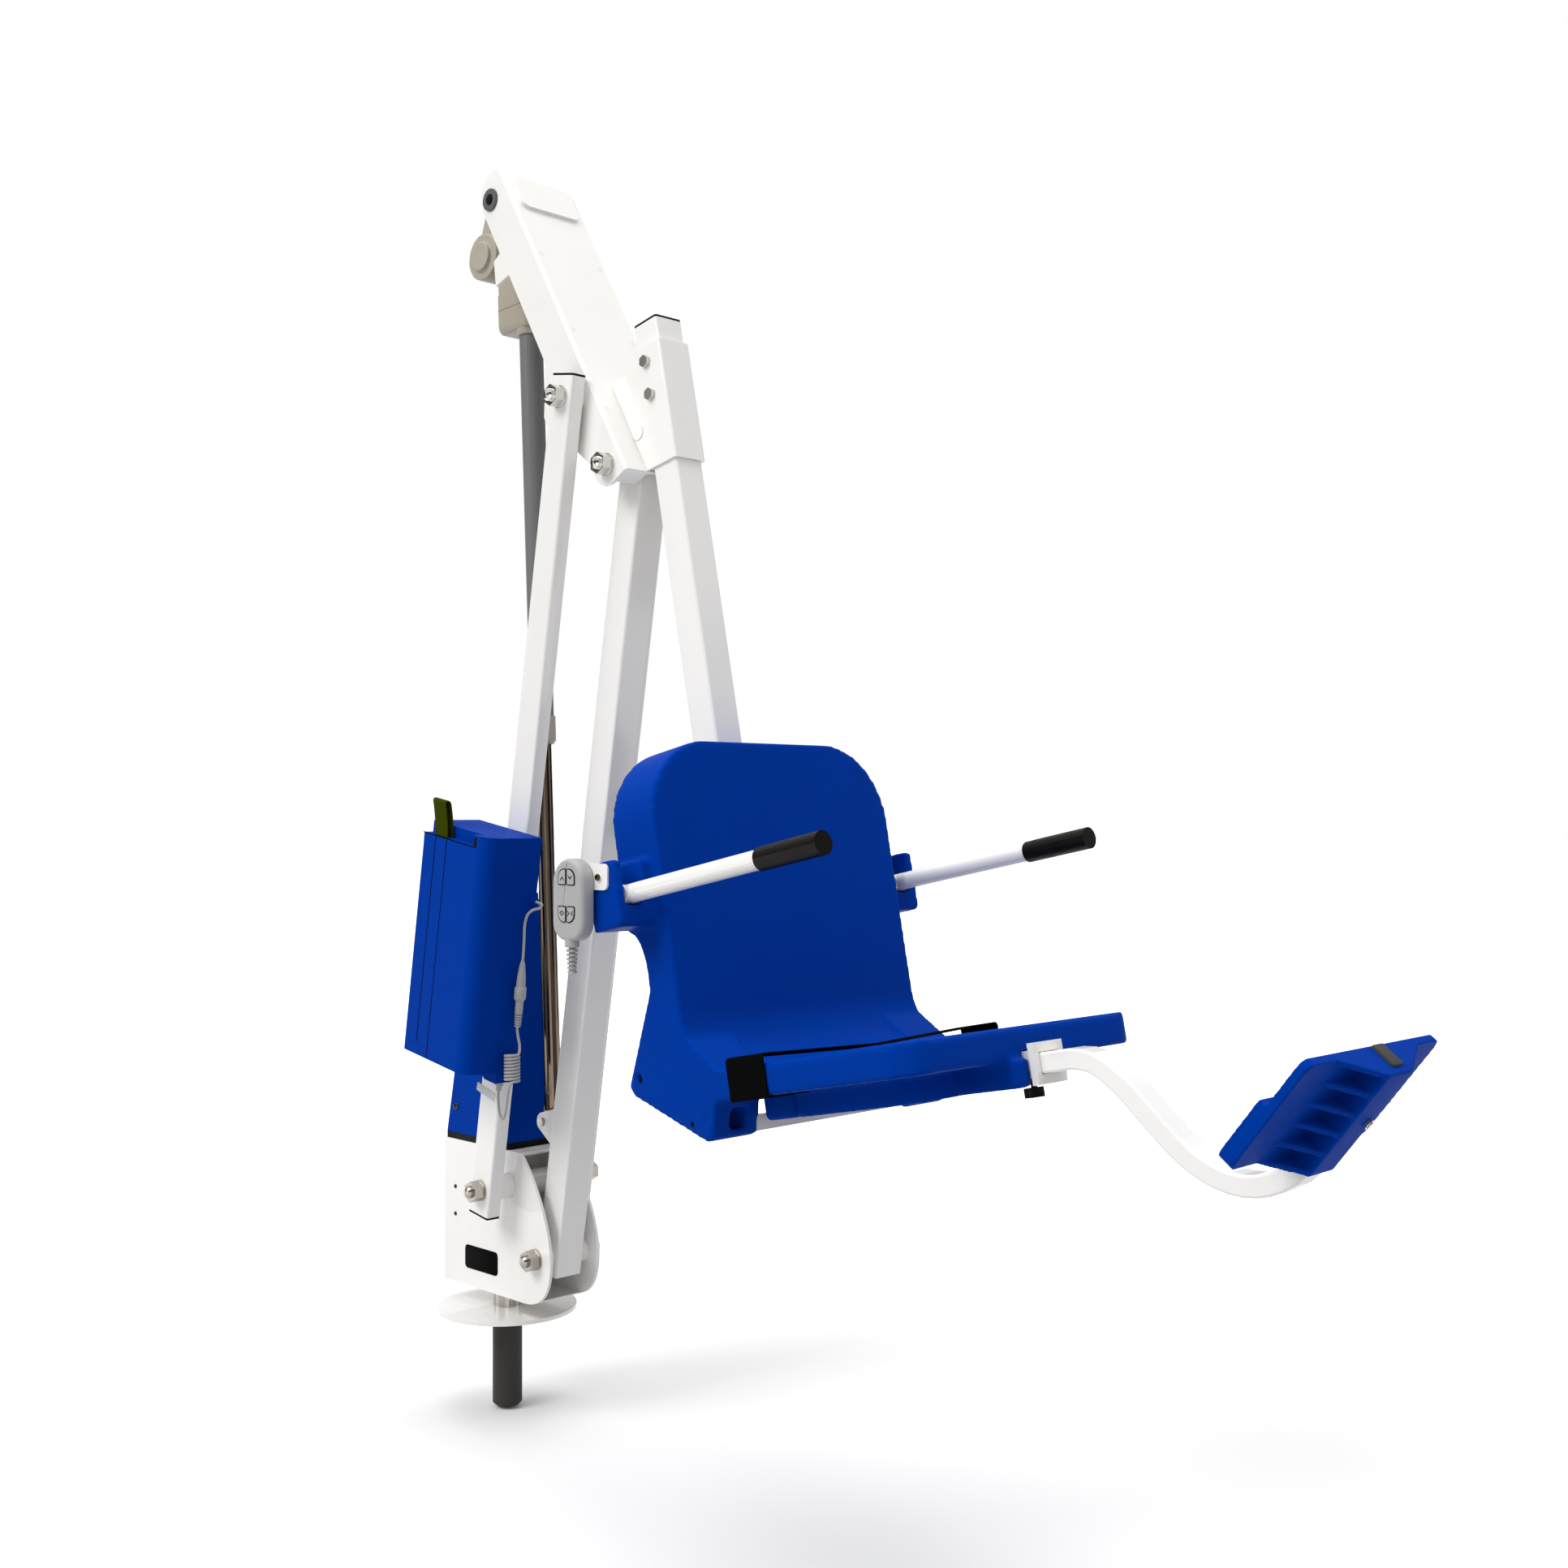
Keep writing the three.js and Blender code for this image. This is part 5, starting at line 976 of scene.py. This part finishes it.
class LIFT_OT_connector(bpy.types.Operator):
    """Makes the cord's connector: a ribbed foot, a waist, a collar and a tapered top"""
    bl_idname = "lift.connector"
    bl_label = "Make the connector"

    foot = (199.5, -127.5, 487.0)
    top = (216.0, -130.0, 588.0)
    root = (2.6, 0.0)
    ribs = {"core": 3.4, "rib": 5.0, "growth": 0.22, "start": 0.4, "pitch": 3.9,
            "offsets": (0.0, 0.3, 2.2, 2.5), "count": 5}
    body = ((5.4, 20.2), (6.0, 21.4), (6.0, 40.0), (8.4, 43.0), (9.0, 44.0), (9.0, 60.0), (8.4, 61.4),
            (7.0, 62.4), (6.9, 72.0), (5.6, 86.0))
    tip_radii = (3.9, 2.6)
    tip_taper = 5.0
    sides = 32

    def execute(self, context):
        foot = np.array(self.foot)
        axis = np.array(self.top) - foot
        length = np.linalg.norm(axis)
        axis = axis / length
        side = np.cross(axis, (0.0, 1.0, 0.0))
        side /= np.linalg.norm(side)
        turned = np.stack([side, np.cross(axis, side), axis])
        tip = ((self.tip_radii[0], length - self.tip_taper), (self.tip_radii[1], length))
        profile = np.vstack([self.root, ribbed(**self.ribs), self.body, tip])
        obj = lathe("ribbed_connector", profile, lambda p: in_row(foot + p @ turned), self.sides)
        finish_piece(obj, "moulded_grey_plastic", "near_link", "grey_plastic", "cord_connector")
        return {"FINISHED"}


class LIFT_OT_gearbox(bpy.types.Operator):
    """Makes the lower half of the actuator's gearbox, its parting line and the collar round the tube"""
    bl_idname = "lift.gearbox"
    bl_label = "Make the gearbox's lower half"

    rear = -58.0
    half = 27.6
    corner = 14.0
    layers = ((-196.0, 9.0), (-194.4, 4.6), (-190.0, 1.4), (-184.0, 0.0), (-132.0, 0.0), (-131.0, 0.8))
    seam_proud = 0.2
    seam_layers = ((-158.6, 0.0), (-157.8, 0.0))
    collar = ((19.3, -205.6), (21.6, -205.2), (22.6, -203.4), (23.4, -190.0))

    def execute(self, context):
        box = slab("gearbox_lower_half", self.outline(0.0), self.layers, in_actuator)
        finish_piece(box, "moulded_nylon", "actuator", "beige_plastic")
        seam = slab("gearbox_seam", self.outline(self.seam_proud), self.seam_layers, in_actuator)
        finish_piece(seam, "moulded_nylon_shadow", "actuator", "beige_plastic")
        collar = lathe("gearbox_collar", self.collar, in_actuator)
        finish_piece(collar, "moulded_nylon", "actuator", "beige_plastic")
        return {"FINISHED"}

    def outline(self, proud):
        """The box's outline, moved out by a little."""
        wide = self.half + proud
        return cornered(self.rear - proud, wide, -wide, wide, self.corner)


# CAD nodes by material
NODES_BY_LOOK = {
    "powder_coated_steel": (
        "base_housing", "link_cross_tube", "mast_tube", "mast_pivot_sleeve", "near_link_bar", "far_link_bar",
        "head_frame", "head_pivot_sleeve", "upper_link_tube", "leg_tube", "sleeve_bracket", "seat_frame",
        "near_armrest_tube", "far_armrest_tube", "footrest_tube", "handset_clip",
    ),
    "polished_powder_coat": ("deck_flange",),
    "rotomoulded_polyethylene": ("tower_cover", "control_case", "battery_pack", "seat_shell", "foot_plate"),
    "stainless_steel": ("slew_shaft", "slew_pinion", "upper_link_bolt", "head_pivot_bolt",
                        "bracket_bolt_upper", "bracket_bolt_lower", "foot_plate_bolt"),
    "bolt_steel": ("mast_pivot_bolt", "lower_link_bolt", "lug_bolt_near", "lug_bolt_far"),
    "hard_chromed_rod": ("actuator_rod",),
    "black_polyethylene": ("cover_trim", "near_link_cap_bottom", "near_link_cap_top", "far_link_cap_bottom",
                           "far_link_cap_top", "leg_cap", "clamp_knob"),
    "moulded_nylon": ("actuator_housing", "actuator_nose"),
    "moulded_grey_plastic": ("cord_plug", "cord_connector", "handset_body", "button_raise", "button_lower",
                             "button_turn_left", "button_turn_right", "supply_lead", "coiled_cord"),
    "painted_steel_post": ("anchor_post",),
    "bushing_nylon": ("head_bushing",),
    "painted_actuator_tube": ("actuator_tube",),
    "gearmotor_paint_and_painted_light": ("slew_gearmotor",),
    "grip_foam": ("near_grip", "far_grip"),
    "belt_webbing": ("seat_belt",),
    "strap_webbing": ("pull_strap",),
}


class LIFT_OT_frame_pieces(bpy.types.Operator):
    """Gives every CAD node its material, and rounds the edges of the moulded ones"""
    bl_idname = "lift.frame_pieces"
    bl_label = "Dress the frame pieces"

    # Voxel size and rounds of smoothing of the moulded pieces
    moulded = {"seat_shell": (3.7, 5), "foot_plate": (1.8, 4), "actuator_housing": (1.3, 5)}

    def execute(self, context):
        for look, names in NODES_BY_LOOK.items():
            for name in names:
                dress(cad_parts[name], look)
        for name, (cell, rounds) in self.moulded.items():
            self.mould(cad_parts[name], cell, rounds)
        return {"FINISHED"}

    def mould(self, obj, cell, rounds):
        """A voxel skin, smoothed, rounds every edge of a moulding."""
        remesh = obj.modifiers.new("moulded skin", "REMESH")
        remesh.mode = "VOXEL"
        remesh.voxel_size = cell * MM
        remesh.use_smooth_shade = True
        smooth = obj.modifiers.new("moulded edges", "SMOOTH")
        smooth.factor = 0.5
        smooth.iterations = rounds


class LIFT_OT_stage(bpy.types.Operator):
    """Makes the camera, the lamps, the world, the floor and the dark cards"""
    bl_idname = "lift.stage"
    bl_label = "Make the stage"

    camera_place = (2388.9, -1747.7, 812.0)
    camera_turn = (QUARTER, 0.0, math.radians(45))
    focal_length = 40.96
    sensor_width = 36.0
    shift_up_share = 0.0176
    far_clip = 200000.0
    lamp_target = (500.0, 0.0, 800.0)
    # Name, place, width and power in watts
    lamps = (
        ("key", (-1200.0, -7000.0, 6600.0), 4500.0, 440.0),
        ("top", (800.0, 400.0, 9000.0), 6000.0, 390.0),
    )
    world_light_share = 0.68
    floor_height = -162.0
    floor_radius = 60000.0
    floor_sides = 64
    floor_middle = (600.0, 0.0, 0.0)
    glow_start = 1200.0
    glow_full = 4000.0
    card_middle = (500.0, 0.0, 1000.0)
    card_distance = 9000.0
    card_height = 8000.0
    # Azimuth in degrees and width of each card
    cards = ((-4, 5400.0), (-62, 5600.0), (-108, 5400.0), (36, 5200.0), (82, 5000.0), (128, 5600.0),
             (-158, 6200.0))

    def execute(self, context):
        scene = context.scene
        colours = scene.lift_colours
        scene.view_settings.view_transform = "Standard"
        data = bpy.data.cameras.new("camera")
        data.lens = self.focal_length
        data.sensor_width = self.sensor_width
        data.shift_y = self.shift_up_share
        data.clip_end = self.far_clip * MM
        scene.camera = self.stand(scene, "camera", data, self.camera_place, self.camera_turn)
        self.world(scene)
        self.floor(scene, colours)
        for name, place, width, power in self.lamps:
            self.lamp(scene, name, place, width, power)
        shader("card_black", Base_Color=linear(colours.card), Roughness=1.0, Specular_IOR_Level=0.0)
        for index, (azimuth, width) in enumerate(self.cards):
            self.card(scene, f"card_{index}", math.radians(azimuth), width)
        return {"FINISHED"}

    def stand(self, scene, name, data, place=(0.0, 0.0, 0.0), turn=(0.0, 0.0, 0.0)):
        """An object of the stage at its place."""
        obj = bpy.data.objects.new(name, data)
        obj.location = [number * MM for number in place]
        obj.rotation_euler = turn
        scene.collection.objects.link(obj)
        return obj

    def seen(self, tree):
        """1 for camera, glossy and transmission rays, and 0 for the light on the object."""
        path = node(tree, "ShaderNodeLightPath")
        most = path.outputs["Is Camera Ray"]
        for kind in ("Is Glossy Ray", "Is Transmission Ray"):
            pair = {0: most, 1: path.outputs[kind]}
            most = node(tree, "ShaderNodeMath", pair, operation="MAXIMUM").outputs[0]
        return most

    def world(self, scene):
        """White to the camera and to reflections, softer as light."""
        world = bpy.data.worlds.new("studio")
        world.use_nodes = True
        scene.world = world
        tree = world.node_tree
        tree.nodes.clear()
        level = node(tree, "ShaderNodeMapRange", {"Value": self.seen(tree), "To Min": self.world_light_share})
        background = node(tree, "ShaderNodeBackground", {"Color": PURE_WHITE, "Strength": level.outputs[0]})
        node(tree, "ShaderNodeOutputWorld", {"Surface": background.outputs["Background"]})

    def card(self, scene, name, azimuth, width):
        """A dark upright card that only reflections see: a rectangle on a circle round the object."""
        outward = np.array([math.cos(azimuth), math.sin(azimuth), 0.0])
        across = np.array([-math.sin(azimuth), math.cos(azimuth), 0.0]) * width / 2
        up = np.array([0.0, 0.0, self.card_height / 2])
        centre = outward * self.card_distance + self.card_middle
        corners = [centre - across - up, centre + across - up, centre + across + up, centre - across + up]
        obj = self.sheet(scene, name, in_row(corners), "card_black")
        obj.visible_camera = False
        obj.visible_diffuse = False
        obj.visible_shadow = False
        obj.visible_transmission = False

    def sheet(self, scene, name, corners, look):
        """One flat face of the stage."""
        mesh = bpy.data.meshes.new(name)
        mesh.from_pydata(corners.tolist(), [], [tuple(range(len(corners)))])
        obj = self.stand(scene, name, mesh)
        dress(obj, look)
        return obj

    def floor(self, scene, colours):
        """A wide pale disc under the post. It glows white to the camera by the distance from the object, so
        that its far part can't be told from the background, and the shadow near the object stays."""
        tree, bsdf = shader("pale_floor", Roughness=0.9, Specular_IOR_Level=0.1, Emission_Color=PURE_WHITE)
        seen = self.seen(tree)
        tones = {0: seen, 6: linear(colours.floor), 7: linear(colours.floor_seen)}
        mixed = node(tree, "ShaderNodeMix", tones, data_type="RGBA")
        coords = node(tree, "ShaderNodeTexCoord")
        middle = tuple(number * MM for number in self.floor_middle)
        away = node(tree, "ShaderNodeVectorMath", {0: coords.outputs["Object"], 1: middle},
                    operation="DISTANCE")
        fade = node(tree, "ShaderNodeMapRange", {
            "Value": away.outputs["Value"], "From Min": self.glow_start * MM, "From Max": self.glow_full * MM,
        })
        glow = node(tree, "ShaderNodeMath", {0: fade.outputs["Result"], 1: seen}, operation="MULTIPLY")
        tree.links.new(mixed.outputs[2], bsdf.inputs["Base Color"])
        tree.links.new(glow.outputs[0], bsdf.inputs["Emission Strength"])
        ring = circle(self.floor_radius, self.floor_sides)
        corners = in_row(np.column_stack([ring, np.full(len(ring), self.floor_height)]))
        self.sheet(scene, "floor", corners, "pale_floor")

    def lamp(self, scene, name, place, width, power):
        """A soft square lamp, turned so that its -Z looks at the target."""
        data = bpy.data.lights.new(name, "AREA")
        data.size = width * MM
        data.energy = power
        x, y, z = np.array(self.lamp_target) - np.array(place)
        turn = (math.atan2(math.hypot(x, y), -z), 0.0, math.atan2(y, x) - QUARTER)
        self.stand(scene, name, data, place, turn)


STEPS = ("materials", "stage", "cords", "webbing", "handset", "blank_labels", "screws", "box_seams",
         "seat_details", "mast_details", "connector", "gearbox", "frame_pieces")


class LIFT_PT_panel(bpy.types.Panel):
    """Lists the steps"""
    bl_idname = "LIFT_PT_panel"
    bl_label = "Pool patient lift"
    bl_space_type = "VIEW_3D"
    bl_region_type = "UI"
    bl_category = "Lift"

    def draw(self, context):
        for step in STEPS:
            self.layout.operator("lift." + step)


CLASSES = (LiftColours, LiftSizes, LIFT_OT_materials, LIFT_OT_cords, LIFT_OT_webbing, LIFT_OT_handset,
           LIFT_OT_blank_labels, LIFT_OT_screws, LIFT_OT_box_seams, LIFT_OT_seat_details,
           LIFT_OT_mast_details, LIFT_OT_connector, LIFT_OT_gearbox, LIFT_OT_frame_pieces, LIFT_OT_stage,
           LIFT_PT_panel)


def register():
    """Registers the classes and the two property groups."""
    for made in CLASSES:
        bpy.utils.register_class(made)
    bpy.types.Scene.lift_colours = bpy.props.PointerProperty(type=LiftColours)
    bpy.types.Scene.lift_sizes = bpy.props.PointerProperty(type=LiftSizes)


def unregister():
    """Takes away what register added."""
    del bpy.types.Scene.lift_sizes
    del bpy.types.Scene.lift_colours
    for made in reversed(CLASSES):
        bpy.utils.unregister_class(made)


def main():
    """Runs every step."""
    register()
    for step in STEPS:
        getattr(bpy.ops.lift, step)()


if __name__ == "__main__":
    main()
